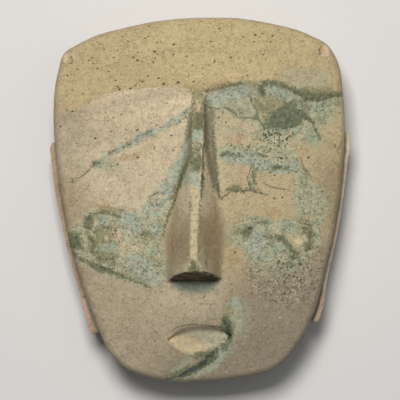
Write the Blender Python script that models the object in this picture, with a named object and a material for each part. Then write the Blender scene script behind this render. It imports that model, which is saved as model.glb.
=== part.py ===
"""A carved stone face mask, lying on its back: one solid, hollow behind, with two drilled suspension holes.

Metres, with +Z out of the face, +Y towards the forehead and +X towards the viewer's right. The origin is the
middle of the mask's box, on the plane that its back rim lies on. The carving is given as shares of half the
face's width and half its height, and every depth, wall and bore is a size of its own.
"""

import math

import bmesh
import bpy
import numpy as np
from mathutils import Vector

# Overall sizes, with how far the face falls away towards its sides, its top and its chin
MASK_HEIGHT = 0.200
FACE_WIDTH = 0.160
CHEEK_DEPTH = 0.050
SIDE_FALL = 0.007
TOP_FALL = 0.007
TOP_FALL_FROM = 0.55
CHIN_FALL = 0.011
CHIN_FALL_FROM = 0.25
EDGE_WIDTH = 0.0034
EDGE_DROP = 0.0050
WALL_TAPER = 0.0040
BACK_BEVEL = 0.0020

# The hollow behind the face
RIM_WALL = 0.0150
FRONT_WALL = 0.0240
HOLLOW_DEPTH = CHEEK_DEPTH - FRONT_WALL
HOLLOW_SLOPE = 0.0160
HOLLOW_SQUARENESS = 3.4

# The nose, which is one wedge with a flat ridge and a cut-back underside
NOSE_RISE = 0.0240
UNDERSIDE_LENGTH = 0.0050
SIDE_ROUNDNESS = 1.12
NOSE_ROOT = 0.600
ROOT_BELOW_FOREHEAD = 0.0012
NOSE_TIP = -0.390
NOSE_HALF_WIDTHS = [
    (-0.415, 0.0143), (-0.200, 0.0151), (0.0, 0.0122), (0.135, 0.0098), (0.300, 0.0060), (0.575, 0.0042),
    (1.0, 0.0075),
]
RIDGE_HALF_WIDTHS = [
    (-0.390, 0.0046), (-0.330, 0.0029), (-0.220, 0.0024), (0.0, 0.0026), (0.350, 0.0031), (0.575, 0.0032),
    (1.0, 0.0032),
]
RIDGE_LEAN = (-0.0002, -0.0033)
FOOT_LEAN = (0.0002, -0.0028)
FOOT_BLEND = 0.0026
FLANK_RISE = 0.0030
FLANK_WIDTH = 0.0080

# The brow, and the eye hollows scooped below it
BROW_MIDDLE = 0.648
BROW_BEND = 0.145
BROW_TILT = 0.045
BROW_STEP = 0.085
SOCKET_DEPTH = 0.0036
SOCKET_SHALLOWING = 0.75
SOCKET_FADE = (0.20, 0.95)

# The ears, which are flanges on the side walls: how far they stand out of the outline at each height, in
# shares, from the bottom of the lobe to the top of the ear
EAR_SET_BACK = 0.0200
EAR_THICKNESS = 0.0190
EAR_ROOT = 0.0060
LEFT_EAR = [
    (-0.723, 0.0042), (-0.700, 0.0050), (-0.619, 0.0044), (-0.547, 0.0037), (-0.537, 0.0029),
    (-0.344, 0.0029), (-0.124, 0.0025), (-0.025, 0.0030), (0.184, 0.0033), (0.283, 0.0035), (0.316, 0.0020),
]
RIGHT_EAR = [
    (-0.660, 0.0040), (-0.645, 0.0045), (-0.564, 0.0040), (-0.486, 0.0033), (-0.476, 0.0026),
    (-0.300, 0.0025), (0.096, 0.0022), (0.228, 0.0028), (0.272, 0.0036), (0.349, 0.0034), (0.377, 0.0018),
]

# Eyes and mouth: middle in shares, half length, reach above and below the line between the corners, turn
EYE_CUT = 0.0009
MOUTH_CUT = 0.0030
LEFT_EYE = {"middle": (-0.536, 0.290), "half": 0.0185, "up": 0.0085, "down": 0.0070, "turn": 13.0}
RIGHT_EYE = {"middle": (0.574, 0.296), "half": 0.0175, "up": 0.0085, "down": 0.0070, "turn": -6.0}
MOUTH = {"middle": (0.003, -0.756), "half": 0.0178, "up": 0.0070, "down": 0.0088, "turn": 4.0}

# Suspension holes, drilled from the front and from the hollow to meet at a waist
HOLE_MOUTH_RADIUS = 0.0024
HOLE_WAIST_RADIUS = 0.0012
LEFT_HOLE = (-0.897, 0.773)
RIGHT_HOLE = (0.849, 0.822)

# How finely the solid is cut into faces
SIDE_COLUMNS = 16
ROWS_BELOW_NOSE = 12
ROWS_BESIDE_NOSE = 19
BROW_ROWS = 2
ROWS_ABOVE_BROW = 7
EDGE_RINGS = 3
CURVE_STEPS = 48
EAR_STEPS = 14
HOLLOW_RINGS = 4
LENS_POINTS = 24
HOLE_SIDES = 14
CUTTER_REACH = 0.0060

# The bowl of an eye or the mouth, from its edge inwards: shares of its half size and of its depth
LENS_BOWL = [(1.0, 0.30), (0.70, 0.75), (0.35, 0.95)]

# The outline seen from the front, anticlockwise from the upper left corner, in shares
OUTLINE = [
    (-0.931, 0.799), (-0.966, 0.713), (-0.999, 0.482), (-0.979, 0.218), (-0.911, -0.140), (-0.808, -0.448),
    (-0.684, -0.723), (-0.622, -0.828), (-0.553, -0.899), (-0.333, -0.979), (-0.010, -1.000), (0.285, -0.977),
    (0.519, -0.927), (0.691, -0.778), (0.787, -0.619), (0.876, -0.343), (0.962, -0.002), (0.997, 0.328),
    (0.986, 0.581), (0.945, 0.768), (0.883, 0.851), (0.753, 0.906), (0.436, 0.976), (0.031, 1.000),
    (-0.436, 0.958), (-0.814, 0.862),
]
UPPER_LEFT, LOWER_LEFT, LOWER_RIGHT, UPPER_RIGHT = 0, 7, 13, 20

STONE_COLOUR = (0.50, 0.42, 0.29, 1.0)


def smoothstep(low, high, value):
    share = np.clip((value - low) / (high - low), 0.0, 1.0)
    return share * share * (3.0 - 2.0 * share)


def from_shares(across, up):
    """A point of the plan, in metres, from shares of half the width and half the height."""
    return across * FACE_WIDTH / 2, up * MASK_HEIGHT / 2


class Outline:
    """A smooth closed curve through the outline's points, as a dense table that rings are read from."""

    def __init__(self):
        points = np.array([from_shares(across, up) for across, up in OUTLINE])
        after, before = np.roll(points, -1, 0), np.roll(points, 1, 0)
        ahead = np.linalg.norm(after - points, axis=1)[:, None]
        behind = np.linalg.norm(points - before, axis=1)[:, None]
        slope = ((after - points) / ahead * behind + (points - before) / behind * ahead) / (ahead + behind)
        share = (np.arange(CURVE_STEPS) / CURVE_STEPS)[:, None]
        stretches = []
        for index in range(len(points)):
            following = (index + 1) % len(points)
            stretches.append(
                (2 * share**3 - 3 * share**2 + 1) * points[index]
                + (share**3 - 2 * share**2 + share) * ahead[index] * slope[index]
                + (3 * share**2 - 2 * share**3) * points[following]
                + (share**3 - share**2) * ahead[index] * slope[following]
            )
        self.points = np.vstack([*stretches, stretches[0][:1]])
        self.at = np.arange(len(self.points)) / CURVE_STEPS
        run = np.roll(self.points[:-1], -1, 0) - np.roll(self.points[:-1], 1, 0)
        normals = np.stack([run[:, 1], -run[:, 0]], 1) / np.linalg.norm(run, axis=1)[:, None]
        self.normals = np.vstack([normals, normals[:1]])

    def inset(self, places, distance):
        """Points of the curve at these places, moved inwards by a distance."""
        moved = self.points - self.normals * distance
        return np.stack([np.interp(places, self.at, moved[:, axis]) for axis in (0, 1)], -1)

    def places(self, start, end, values, axis, distance):
        """Where, between two of its points, the inset curve reaches these values of x or y."""
        end = end if end > start else end + len(OUTLINE)
        at = np.arange(start * CURVE_STEPS, end * CURVE_STEPS + 1) / CURVE_STEPS
        reached = self.inset(at % len(OUTLINE), distance)[:, axis]
        if reached[-1] < reached[0]:
            at, reached = at[::-1], reached[::-1]
        return np.interp(values, reached, at) % len(OUTLINE)


def width_at(table, up):
    """A half width read from its table at a height in shares."""
    heights, widths = zip(*table)
    return np.interp(up, heights, widths)


def leaning(line, up):
    """The x of a line that leans from its upper end, at the nose's root, to its lower end, at its tip."""
    share = (up - NOSE_TIP) / (NOSE_ROOT - NOSE_TIP)
    return line[1] + (line[0] - line[1]) * np.clip(share, -0.2, 1.2)


def brow_line(across):
    return BROW_MIDDLE - BROW_BEND * across**2 + BROW_TILT * across


def bare_face(x, y):
    """The height of the face without its nose, eyes and mouth."""
    across, up = x / (FACE_WIDTH / 2), y / (MASK_HEIGHT / 2)
    height = CHEEK_DEPTH - SIDE_FALL * np.abs(across) ** 3
    height = height - TOP_FALL * np.clip((up - TOP_FALL_FROM) / (1 - TOP_FALL_FROM), 0, None) ** 1.4
    height = height - CHIN_FALL * np.clip((-up - CHIN_FALL_FROM) / (1 - CHIN_FALL_FROM), 0, None) ** 1.6
    below_brow = brow_line(across) - up
    scoop = smoothstep(0.0, BROW_STEP, below_brow) * (1 - smoothstep(*SOCKET_FADE, below_brow))
    return height - SOCKET_DEPTH * (1 - SOCKET_SHALLOWING * np.clip(np.abs(across), 0, 1)) * scoop


def rounded_maximum(first, second, blend):
    """The higher of two surfaces, with the valley between them filled over a height of blend."""
    overlap = np.clip(blend - np.abs(first - second), 0, None)
    return np.maximum(first, second) + overlap**2 / (4 * blend)


def face_height(x, y):
    """The height of the face with its nose, above the plane of the back rim."""
    up = y / (MASK_HEIGHT / 2)
    foot_line, ridge_line = leaning(FOOT_LEAN, up), leaning(RIDGE_LEAN, up)
    foot, ridge_half = width_at(NOSE_HALF_WIDTHS, up), width_at(RIDGE_HALF_WIDTHS, up)
    aside = np.abs(x - foot_line)
    flank = FLANK_RISE * np.exp(-((np.clip(aside - foot, 0, None) / FLANK_WIDTH) ** 2))
    flank = flank * smoothstep(-0.25, 0.25, up) * (1 - smoothstep(0.50, 0.60, up))
    skin = bare_face(x, y) + flank
    forehead = bare_face(np.zeros_like(x), np.full_like(x, BROW_MIDDLE * MASK_HEIGHT / 2))
    root_height = forehead - ROOT_BELOW_FOREHEAD
    down = (NOSE_ROOT - up) / (NOSE_ROOT - NOSE_TIP)
    ridge = root_height + (CHEEK_DEPTH + NOSE_RISE - root_height) * down
    reach = foot - ridge_half + np.where(x < ridge_line, ridge_line - foot_line, foot_line - ridge_line)
    outwards = np.clip(np.abs(x - ridge_line) - ridge_half, 0, None) / np.clip(reach, 0.0005, None)
    side = ridge - np.clip(ridge - skin, 0.0004, None) * outwards**SIDE_ROUNDNESS
    tip_y = NOSE_TIP * MASK_HEIGHT / 2
    underside = CHEEK_DEPTH + NOSE_RISE + (y - tip_y) * NOSE_RISE / UNDERSIDE_LENGTH
    return rounded_maximum(skin, np.minimum(side, underside), FOOT_BLEND)


def row_share(up):
    """The share of the way up the front, along its middle, that a height in shares is at."""
    return (up * MASK_HEIGHT / 2 + MASK_HEIGHT / 2 - EDGE_WIDTH) / (MASK_HEIGHT - 2 * EDGE_WIDTH)


def row_shares():
    """Where the rows of the front are: on the nose's tip, on its foot, and on each side of the brow."""
    underside = UNDERSIDE_LENGTH / (MASK_HEIGHT / 2)
    stations = [
        (0.0, ROWS_BELOW_NOSE),
        (row_share(NOSE_TIP - underside), 1),
        (row_share(NOSE_TIP), ROWS_BESIDE_NOSE),
        (row_share(BROW_MIDDLE - BROW_STEP), BROW_ROWS),
        (row_share(BROW_MIDDLE), ROWS_ABOVE_BROW),
        (1.0, 0),
    ]
    rows = []
    for (low, count), (high, _) in zip(stations, stations[1:]):
        rows.extend(low + (high - low) * step / count for step in range(count))
    return np.array([*rows, 1.0])


def brow_pull(rows, across, straight_brow):
    """How far each row is moved up or down, at one place across, so that one row runs along the brow."""
    brow = row_share(BROW_MIDDLE)
    rising = smoothstep(row_share(NOSE_TIP), row_share(BROW_MIDDLE - BROW_STEP), rows)
    weight = np.where(rows < brow, rising, 1 - np.clip((rows - brow) / (1 - brow), 0, 1))
    return weight * (brow_line(across) * MASK_HEIGHT / 2 - straight_brow)


def front_grid(outline):
    """Plan points of the front, by row and column, with lines that follow the nose and the brow, and the
    place of each point of its border on the outline."""
    rows = row_shares()
    corners = [outline.inset(float(index), EDGE_WIDTH) for index in
               (LOWER_LEFT, LOWER_RIGHT, UPPER_LEFT, UPPER_RIGHT)]
    left_y = corners[0][1] + rows * (corners[2][1] - corners[0][1])
    right_y = corners[1][1] + rows * (corners[3][1] - corners[1][1])
    brow = row_share(BROW_MIDDLE)
    left_y += brow_pull(rows, -1.0, corners[0][1] + brow * (corners[2][1] - corners[0][1]))
    right_y += brow_pull(rows, 1.0, corners[1][1] + brow * (corners[3][1] - corners[1][1]))
    left_at = outline.places(UPPER_LEFT, LOWER_LEFT, left_y, 1, EDGE_WIDTH)
    right_at = outline.places(LOWER_RIGHT, UPPER_RIGHT, right_y, 1, EDGE_WIDTH)
    left_x = outline.inset(left_at, EDGE_WIDTH)[:, 0]
    right_x = outline.inset(right_at, EDGE_WIDTH)[:, 0]
    up = -1 + 2 * rows
    foot, ridge = leaning(FOOT_LEAN, up), leaning(RIDGE_LEAN, up)
    half, ridge_half = width_at(NOSE_HALF_WIDTHS, up), width_at(RIDGE_HALF_WIDTHS, up)
    outer = np.linspace(0, 1, SIDE_COLUMNS + 1)
    nose_left, nose_right = foot - half, foot + half
    ridge_left, ridge_right = ridge - ridge_half, ridge + ridge_half
    lines = [left_x + (nose_left - left_x) * share for share in outer]
    lines += [nose_left + (ridge_left - nose_left) * share for share in (0.5, 1.0)]
    lines += [ridge_right + (nose_right - ridge_right) * share for share in (0.0, 0.5)]
    lines += [nose_right + (right_x - nose_right) * share for share in outer]
    x = np.stack(lines, 1)
    brow_across = np.array([np.interp(brow, rows, column) for column in x.T]) / (FACE_WIDTH / 2)
    bottom_at = outline.places(LOWER_LEFT, LOWER_RIGHT, x[0], 0, EDGE_WIDTH)
    top_at = outline.places(UPPER_RIGHT, UPPER_LEFT, x[-1], 0, EDGE_WIDTH)
    bottom_y = outline.inset(bottom_at, EDGE_WIDTH)[:, 1]
    top_y = outline.inset(top_at, EDGE_WIDTH)[:, 1]
    y = (1 - rows)[:, None] * bottom_y + rows[:, None] * top_y
    for column in range(x.shape[1]):
        straight_brow = (1 - brow) * bottom_y[column] + brow * top_y[column]
        y[:, column] += brow_pull(rows, brow_across[column], straight_brow)
    y[:, 0], y[:, -1] = left_y, right_y
    return x, y, left_at, bottom_at, right_at, top_at


def border(grid_shape):
    """The (row, column) of the grid's border, anticlockwise from the upper left corner."""
    last_row, last_column = grid_shape[0] - 1, grid_shape[1] - 1
    left = [(row, 0) for row in range(last_row, 0, -1)]
    bottom = [(0, column) for column in range(last_column)]
    right = [(row, last_column) for row in range(last_row)]
    top = [(last_row, column) for column in range(last_column, 0, -1)]
    return left + bottom + right + top


def hollow_outline(outline, directions, turn):
    """The hollow's rounded oval where its slope has turned by an angle: one point in each of these
    directions from the middle. At no turn it is the rim's edge, and at a right angle the floor's edge."""
    rim = outline.inset(outline.at, WALL_TAPER)
    low, high = rim.min(0), rim.max(0)
    half = (high - low) / 2
    turned = (directions - (low + high) / 2) / half
    reach = (np.abs(turned) ** HOLLOW_SQUARENESS).sum(-1) ** (1 / HOLLOW_SQUARENESS)
    inset = RIM_WALL + HOLLOW_SLOPE * (1 - math.cos(turn))
    oval = turned / reach[..., None] * (half - inset)
    left = outline.places(UPPER_LEFT, LOWER_LEFT, oval[..., 1], 1, WALL_TAPER)
    right = outline.places(LOWER_RIGHT, UPPER_RIGHT, oval[..., 1], 1, WALL_TAPER)
    face_half = (outline.inset(right, WALL_TAPER) - outline.inset(left, WALL_TAPER))[..., 0] / 2
    oval[..., 0] *= face_half / half[0]
    return (low + high) / 2 + oval


def mask_body():
    """The stone as one closed mesh: front, rounded edge, side wall, rim and hollow."""
    outline = Outline()
    x, y, left_at, bottom_at, right_at, top_at = front_grid(outline)
    z = face_height(x, y)
    body = bmesh.new()
    rows, columns = x.shape
    grid = [[body.verts.new((x[r, c], y[r, c], z[r, c])) for c in range(columns)] for r in range(rows)]
    for r in range(rows - 1):
        for c in range(columns - 1):
            body.faces.new((grid[r][c], grid[r][c + 1], grid[r + 1][c + 1], grid[r + 1][c]))
    loop = border(x.shape)
    at = []
    for r, c in loop:
        if c == 0:
            at.append(left_at[r])
        elif c == columns - 1:
            at.append(right_at[r])
        else:
            at.append(bottom_at[c] if r == 0 else top_at[c])
    at = np.array(at)
    ring = [grid[r][c] for r, c in loop]

    def add_ring(ring, points, heights):
        new = [body.verts.new((p[0], p[1], h)) for p, h in zip(points, heights)]
        count = len(new)
        for index in range(count):
            following = (index + 1) % count
            body.faces.new((ring[following], ring[index], new[index], new[following]))
        return new

    for step in range(1, EDGE_RINGS + 1):
        angle = math.pi / 2 * step / EDGE_RINGS
        points = outline.inset(at, EDGE_WIDTH * (1 - math.sin(angle)))
        heights = face_height(points[:, 0], points[:, 1]) - EDGE_DROP * (1 - math.cos(angle))
        ring = add_ring(ring, points, heights)
    ring = add_ring(ring, outline.inset(at, WALL_TAPER / 2), heights / 2)
    flat = np.zeros(len(at))
    ring = add_ring(ring, outline.inset(at, WALL_TAPER), flat + BACK_BEVEL)
    ring = add_ring(ring, outline.inset(at, WALL_TAPER + BACK_BEVEL), flat)
    rim = outline.inset(at, WALL_TAPER)
    for step in range(HOLLOW_RINGS + 1):
        turn = math.pi / 2 * step / HOLLOW_RINGS
        points = hollow_outline(outline, rim, turn)
        ring = add_ring(ring, points, flat + HOLLOW_DEPTH * math.sin(turn))
    body.faces.new(list(reversed(ring)))
    return body, outline


def ear(outline, stations, start, end):
    """A flange that follows the outline between two of its points, buried in the side wall at its root."""
    heights = np.array([up for up, _ in stations]) * MASK_HEIGHT / 2
    along = np.union1d(np.linspace(heights[0], heights[-1], EAR_STEPS), heights)
    proud = np.interp(along, heights, [out for _, out in stations])
    places = outline.places(start, end, along, 1, 0.0)
    front = CHEEK_DEPTH - EAR_SET_BACK
    back = front - EAR_THICKNESS
    flange = bmesh.new()
    sections = []
    for place, out in zip(places, proud):
        root, edge = outline.inset(place, EAR_ROOT), outline.inset(place, -out)
        corners = [(*root, back), (*edge, back), (*edge, front), (*root, front)]
        sections.append([flange.verts.new(corner) for corner in corners])
    for first, second in zip(sections, sections[1:]):
        for index in range(4):
            following = (index + 1) % 4
            flange.faces.new((first[index], first[following], second[following], second[index]))
    flange.faces.new(sections[0])
    flange.faces.new(list(reversed(sections[-1])))
    return flange


def lens_cutter(shape, cut):
    """A bowl with a lens-shaped edge, sunk below the face: what an eye or the mouth is cut with."""
    middle = Vector(from_shares(*shape["middle"]))
    turn = math.radians(shape["turn"])
    edge = []
    for step in range(LENS_POINTS):
        along = math.cos(math.tau * step / LENS_POINTS)
        above = step < LENS_POINTS / 2
        out = shape["up"] * (1 - abs(along) ** 2.8) if above else -shape["down"] * (1 - along * along)
        edge.append((shape["half"] * along, out))

    def ring_at(scale, height_of):
        made = []
        for along, out in edge:
            px = middle.x + scale * (along * math.cos(turn) - out * math.sin(turn))
            py = middle.y + scale * (along * math.sin(turn) + out * math.cos(turn))
            skin = float(face_height(np.array([px]), np.array([py]))[0])
            made.append(cutter.verts.new((px, py, skin + height_of)))
        return made

    cutter = bmesh.new()
    rings = [ring_at(1.0, CUTTER_REACH)]
    rings += [ring_at(scale, -depth * cut) for scale, depth in LENS_BOWL]
    for upper, lower in zip(rings, rings[1:]):
        for index in range(len(edge)):
            following = (index + 1) % len(edge)
            cutter.faces.new((upper[index], lower[index], lower[following], upper[following]))
    cutter.faces.new(rings[0])
    cutter.faces.new(list(reversed(rings[-1])))
    return cutter


def hole_cutter(outline, place):
    """Two cones that meet at a waist: a hole from the front of a corner, slanting into the hollow."""
    mouth = np.array(from_shares(*place))
    skin = float(face_height(mouth[:1], mouth[1:])[0])
    start = Vector((*mouth, skin))
    turn = math.pi / 4
    end = Vector((*hollow_outline(outline, mouth, turn), HOLLOW_DEPTH * math.sin(turn)))
    along = (end - start).normalized()
    length = (end - start).length
    flare = (HOLE_MOUTH_RADIUS - HOLE_WAIST_RADIUS) / (length / 2)
    wide = HOLE_MOUTH_RADIUS + CUTTER_REACH * flare
    stations = [(-CUTTER_REACH, wide), (length / 2, HOLE_WAIST_RADIUS), (length + CUTTER_REACH, wide)]
    side = along.orthogonal().normalized()
    other = along.cross(side)
    cutter = bmesh.new()
    rings = []
    turns = [math.tau * n / HOLE_SIDES for n in range(HOLE_SIDES)]
    spokes = [side * math.cos(turn) + other * math.sin(turn) for turn in turns]
    for reach, radius in stations:
        centre = start + along * reach
        rings.append([cutter.verts.new(centre + radius * spoke) for spoke in spokes])
    for first, second in zip(rings, rings[1:]):
        for n in range(HOLE_SIDES):
            following = (n + 1) % HOLE_SIDES
            cutter.faces.new((first[n], first[following], second[following], second[n]))
    cutter.faces.new(list(reversed(rings[0])))
    cutter.faces.new(rings[-1])
    return cutter


def link_mesh(name, mesh_data):
    """Links a bmesh to the scene as an object."""
    bmesh.ops.recalc_face_normals(mesh_data, faces=mesh_data.faces)
    mesh = bpy.data.meshes.new(name)
    mesh_data.to_mesh(mesh)
    mesh_data.free()
    made = bpy.data.objects.new(name, mesh)
    bpy.context.scene.collection.objects.link(made)
    return made


def stone():
    material = bpy.data.materials.new("stone")
    material.use_nodes = True
    shader = material.node_tree.nodes["Principled BSDF"]
    shader.inputs["Base Color"].default_value = STONE_COLOUR
    shader.inputs["Roughness"].default_value = 0.75
    shader.inputs["Metallic"].default_value = 0.0
    return material


def main():
    for old in list(bpy.data.objects):
        bpy.data.objects.remove(old)
    body, outline = mask_body()
    mask = link_mesh("mask", body)
    mask.data.materials.append(stone())
    ears = {
        "left_ear_shape": ear(outline, LEFT_EAR, UPPER_LEFT, LOWER_LEFT),
        "right_ear_shape": ear(outline, RIGHT_EAR, LOWER_RIGHT, UPPER_RIGHT),
    }
    cutters = {
        "left_eye_cutter": lens_cutter(LEFT_EYE, EYE_CUT),
        "right_eye_cutter": lens_cutter(RIGHT_EYE, EYE_CUT),
        "mouth_cutter": lens_cutter(MOUTH, MOUTH_CUT),
        "left_hole_cutter": hole_cutter(outline, LEFT_HOLE),
        "right_hole_cutter": hole_cutter(outline, RIGHT_HOLE),
    }
    for name, shape in [*ears.items(), *cutters.items()]:
        helper = link_mesh(name, shape)
        helper.hide_render = True
        helper.display_type = "WIRE"
        change = mask.modifiers.new(name, "BOOLEAN")
        change.operation = "UNION" if name in ears else "DIFFERENCE"
        change.solver = "EXACT"
        change.object = helper
    solids = [mask, *(bpy.data.objects[name] for name in ears)]
    xs = [vertex.co.x for solid in solids for vertex in solid.data.vertices]
    ys = [vertex.co.y for solid in solids for vertex in solid.data.vertices]
    shift = Vector((-(min(xs) + max(xs)) / 2, -(min(ys) + max(ys)) / 2, 0))
    for made in bpy.data.objects:
        made.location = shift
    mask.data.shade_smooth()
    mask.data.set_sharp_from_angle(angle=math.radians(35))


main()
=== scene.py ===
# %% [markdown]
# A carved stone face mask, lying on its back. The imported solid gives its size, its outline and its carving
# in coarse facets. This script makes the same mask again as one dense mesh, weathers it, and paints the
# stone: tan stone with green and blue-green veins, worn patches, pits and fine cracks. The solid comes first,
# because the new mesh is centred on its box.

# %% Load the imported solid
import math

import bmesh
import bpy
import numpy as np
from mathutils import Matrix, Vector
from mathutils.kdtree import KDTree


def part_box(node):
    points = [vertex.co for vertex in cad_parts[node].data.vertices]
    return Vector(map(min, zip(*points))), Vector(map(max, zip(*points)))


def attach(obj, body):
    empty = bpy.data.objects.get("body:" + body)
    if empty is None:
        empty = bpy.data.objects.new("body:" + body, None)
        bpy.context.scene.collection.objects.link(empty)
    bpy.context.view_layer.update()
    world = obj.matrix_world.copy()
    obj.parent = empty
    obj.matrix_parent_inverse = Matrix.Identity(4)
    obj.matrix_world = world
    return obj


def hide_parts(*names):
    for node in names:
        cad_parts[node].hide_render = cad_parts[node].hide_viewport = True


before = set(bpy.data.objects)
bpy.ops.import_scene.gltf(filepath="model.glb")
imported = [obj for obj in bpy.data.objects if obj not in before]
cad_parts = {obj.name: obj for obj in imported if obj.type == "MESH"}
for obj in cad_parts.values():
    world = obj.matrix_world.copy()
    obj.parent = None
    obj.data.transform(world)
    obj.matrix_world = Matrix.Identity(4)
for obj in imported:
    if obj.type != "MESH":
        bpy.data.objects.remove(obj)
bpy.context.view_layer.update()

MASK_LOW, MASK_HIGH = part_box("mask")
print("The solid is", [round(1000 * side, 1) for side in MASK_HIGH - MASK_LOW], "mm")

# %% [markdown]
# The stand-in for the photographer's table is a pale floor under a soft light. A mask is photographed
# straight on, so with the mask on its back the camera hangs above it and looks down. A long lens far away
# keeps the sides of the face from opening out. The light comes mostly from above the forehead, as the dark
# underside of the nose and the grey chin show, and a weak one fills the shadows.

# %% Floor, camera and lights
CAMERA_HEIGHT = 1.45
PICTURE_FIELD = 0.220
SHARP_HEIGHT = 0.034


def link(made):
    bpy.context.scene.collection.objects.link(made)
    return made


def add_light(name, size, watts, place, colour=(1.0, 1.0, 1.0)):
    """A square lamp of this size at a place, turned to face the mask."""
    lamp = bpy.data.lights.new(name, "AREA")
    lamp.size = size
    lamp.energy = watts
    lamp.color = colour
    made = link(bpy.data.objects.new(name, lamp))
    made.location = place
    made.rotation_euler = (Vector((0, 0, 0.03)) - made.location).to_track_quat("-Z", "Y").to_euler()
    return made


camera = link(bpy.data.objects.new("camera", bpy.data.cameras.new("camera")))
camera.location = (0, 0, CAMERA_HEIGHT)
camera.data.angle = 2 * math.atan(PICTURE_FIELD / 2 / (CAMERA_HEIGHT - SHARP_HEIGHT))
camera.data.clip_start = 0.05
bpy.context.scene.camera = camera

floor_mesh = bmesh.new()
bmesh.ops.create_grid(floor_mesh, x_segments=1, y_segments=1, size=3.0)
floor = link(bpy.data.objects.new("floor", bpy.data.meshes.new("floor")))
floor_mesh.to_mesh(floor.data)
floor_mesh.free()
floor.location.z = -0.0005
floor_finish = bpy.data.materials.new("pale floor")
floor_finish.use_nodes = True
floor_finish.node_tree.nodes["Principled BSDF"].inputs["Base Color"].default_value = (0.74, 0.73, 0.71, 1)
floor_finish.node_tree.nodes["Principled BSDF"].inputs["Roughness"].default_value = 0.9
floor.data.materials.append(floor_finish)

add_light("key light", 0.42, 18.5, (-0.12, 0.50, 1.40), (1.0, 0.985, 0.96))
add_light("fill light", 1.2, 2.6, (0.35, 0.05, 1.40), (0.95, 0.98, 1.0))
world = bpy.data.worlds.new("studio")
world.use_nodes = True
world.node_tree.nodes["Background"].inputs["Color"].default_value = (0.93, 0.95, 1.0, 1)
world.node_tree.nodes["Background"].inputs["Strength"].default_value = 0.07
bpy.context.scene.world = world
bpy.context.scene.view_settings.view_transform = "Standard"
print("The camera sees", PICTURE_FIELD, "m across the mask's edge")

# %% [markdown]
# The real mask was ground and drilled from one block, so it is one piece here too. Sculpting tools would
# give its shape, but a carving this plain follows a rule: a height for each point of its front, inside one
# outline. So the front is a grid whose lines run along the nose and the brow, and whose border lies on the
# outline. These are the sizes of the solid, in metres, with the carving in shares of half the width and half
# the height.

# %% Sizes of the carving
MASK_HEIGHT, FACE_WIDTH, CHEEK_DEPTH = 0.200, 0.160, 0.050
SIDE_FALL, TOP_FALL, CHIN_FALL = 0.007, 0.007, 0.011
TOP_FALL_FROM, CHIN_FALL_FROM = 0.55, 0.25
EDGE_WIDTH, EDGE_DROP, WALL_TAPER, BACK_BEVEL = 0.0034, 0.0050, 0.0040, 0.0020
RIM_WALL, HOLLOW_DEPTH, HOLLOW_SLOPE, HOLLOW_SQUARENESS = 0.0150, 0.0260, 0.0160, 3.4
NOSE_RISE, UNDERSIDE_LENGTH, SIDE_ROUNDNESS = 0.0240, 0.0050, 1.12
NOSE_ROOT, NOSE_TIP, ROOT_BELOW_FOREHEAD = 0.600, -0.390, 0.0012
NOSE_HALF_WIDTHS = [
    (-0.415, 0.0143), (-0.200, 0.0151), (0.0, 0.0122), (0.135, 0.0098), (0.300, 0.0060), (0.575, 0.0042),
    (1.0, 0.0075),
]
RIDGE_HALF_WIDTHS = [
    (-0.390, 0.0046), (-0.330, 0.0029), (-0.220, 0.0024), (0.0, 0.0026), (0.350, 0.0031), (0.575, 0.0032),
    (1.0, 0.0032),
]
RIDGE_LEAN, FOOT_LEAN = (-0.0002, -0.0033), (0.0002, -0.0028)
FOOT_BLEND, FLANK_RISE, FLANK_WIDTH = 0.0042, 0.0030, 0.0080
BROW_MIDDLE, BROW_BEND, BROW_TILT, BROW_STEP = 0.648, 0.145, 0.045, 0.085
SOCKET_DEPTH, SOCKET_SHALLOWING, SOCKET_FADE = 0.0036, 0.75, (0.20, 0.95)
EAR_SET_BACK, EAR_THICKNESS = 0.0200, 0.0190
LEFT_EAR = [
    (-0.723, 0.0042), (-0.700, 0.0050), (-0.619, 0.0044), (-0.547, 0.0037), (-0.537, 0.0029),
    (-0.344, 0.0029), (-0.124, 0.0025), (-0.025, 0.0030), (0.184, 0.0033), (0.283, 0.0035),
    (0.316, 0.0020),
]
RIGHT_EAR = [
    (-0.660, 0.0040), (-0.645, 0.0045), (-0.564, 0.0040), (-0.486, 0.0033), (-0.476, 0.0026),
    (-0.300, 0.0025), (0.096, 0.0022), (0.228, 0.0028), (0.272, 0.0036), (0.349, 0.0034), (0.377, 0.0018),
]
LEFT_EYE = {"middle": (-0.536, 0.290), "half": 0.0185, "up": 0.0085, "down": 0.0070, "turn": 13.0,
            "cut": 0.0009}
RIGHT_EYE = {"middle": (0.574, 0.296), "half": 0.0175, "up": 0.0085, "down": 0.0070, "turn": -6.0,
             "cut": 0.0009}
MOUTH = {"middle": (0.003, -0.756), "half": 0.0178, "up": 0.0070, "down": 0.0088, "turn": 4.0, "cut": 0.0030}
HOLE_MOUTH_RADIUS, HOLE_WAIST_RADIUS = 0.0024, 0.0012
LEFT_HOLE, RIGHT_HOLE = (-0.897, 0.773), (0.849, 0.822)
OUTLINE = [
    (-0.931, 0.799), (-0.966, 0.713), (-0.999, 0.482), (-0.979, 0.218), (-0.911, -0.140), (-0.808, -0.448),
    (-0.684, -0.723), (-0.622, -0.828), (-0.553, -0.899), (-0.333, -0.979), (-0.010, -1.000),
    (0.285, -0.977), (0.519, -0.927), (0.691, -0.778), (0.787, -0.619), (0.876, -0.343), (0.962, -0.002),
    (0.997, 0.328), (0.986, 0.581), (0.945, 0.768), (0.883, 0.851), (0.753, 0.906), (0.436, 0.976),
    (0.031, 1.000), (-0.436, 0.958), (-0.814, 0.862),
]
UPPER_LEFT, LOWER_LEFT, LOWER_RIGHT, UPPER_RIGHT = 0, 7, 13, 20
HALF_WIDTH, HALF_HEIGHT = FACE_WIDTH / 2, MASK_HEIGHT / 2
print("The outline has", len(OUTLINE), "points")
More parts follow.
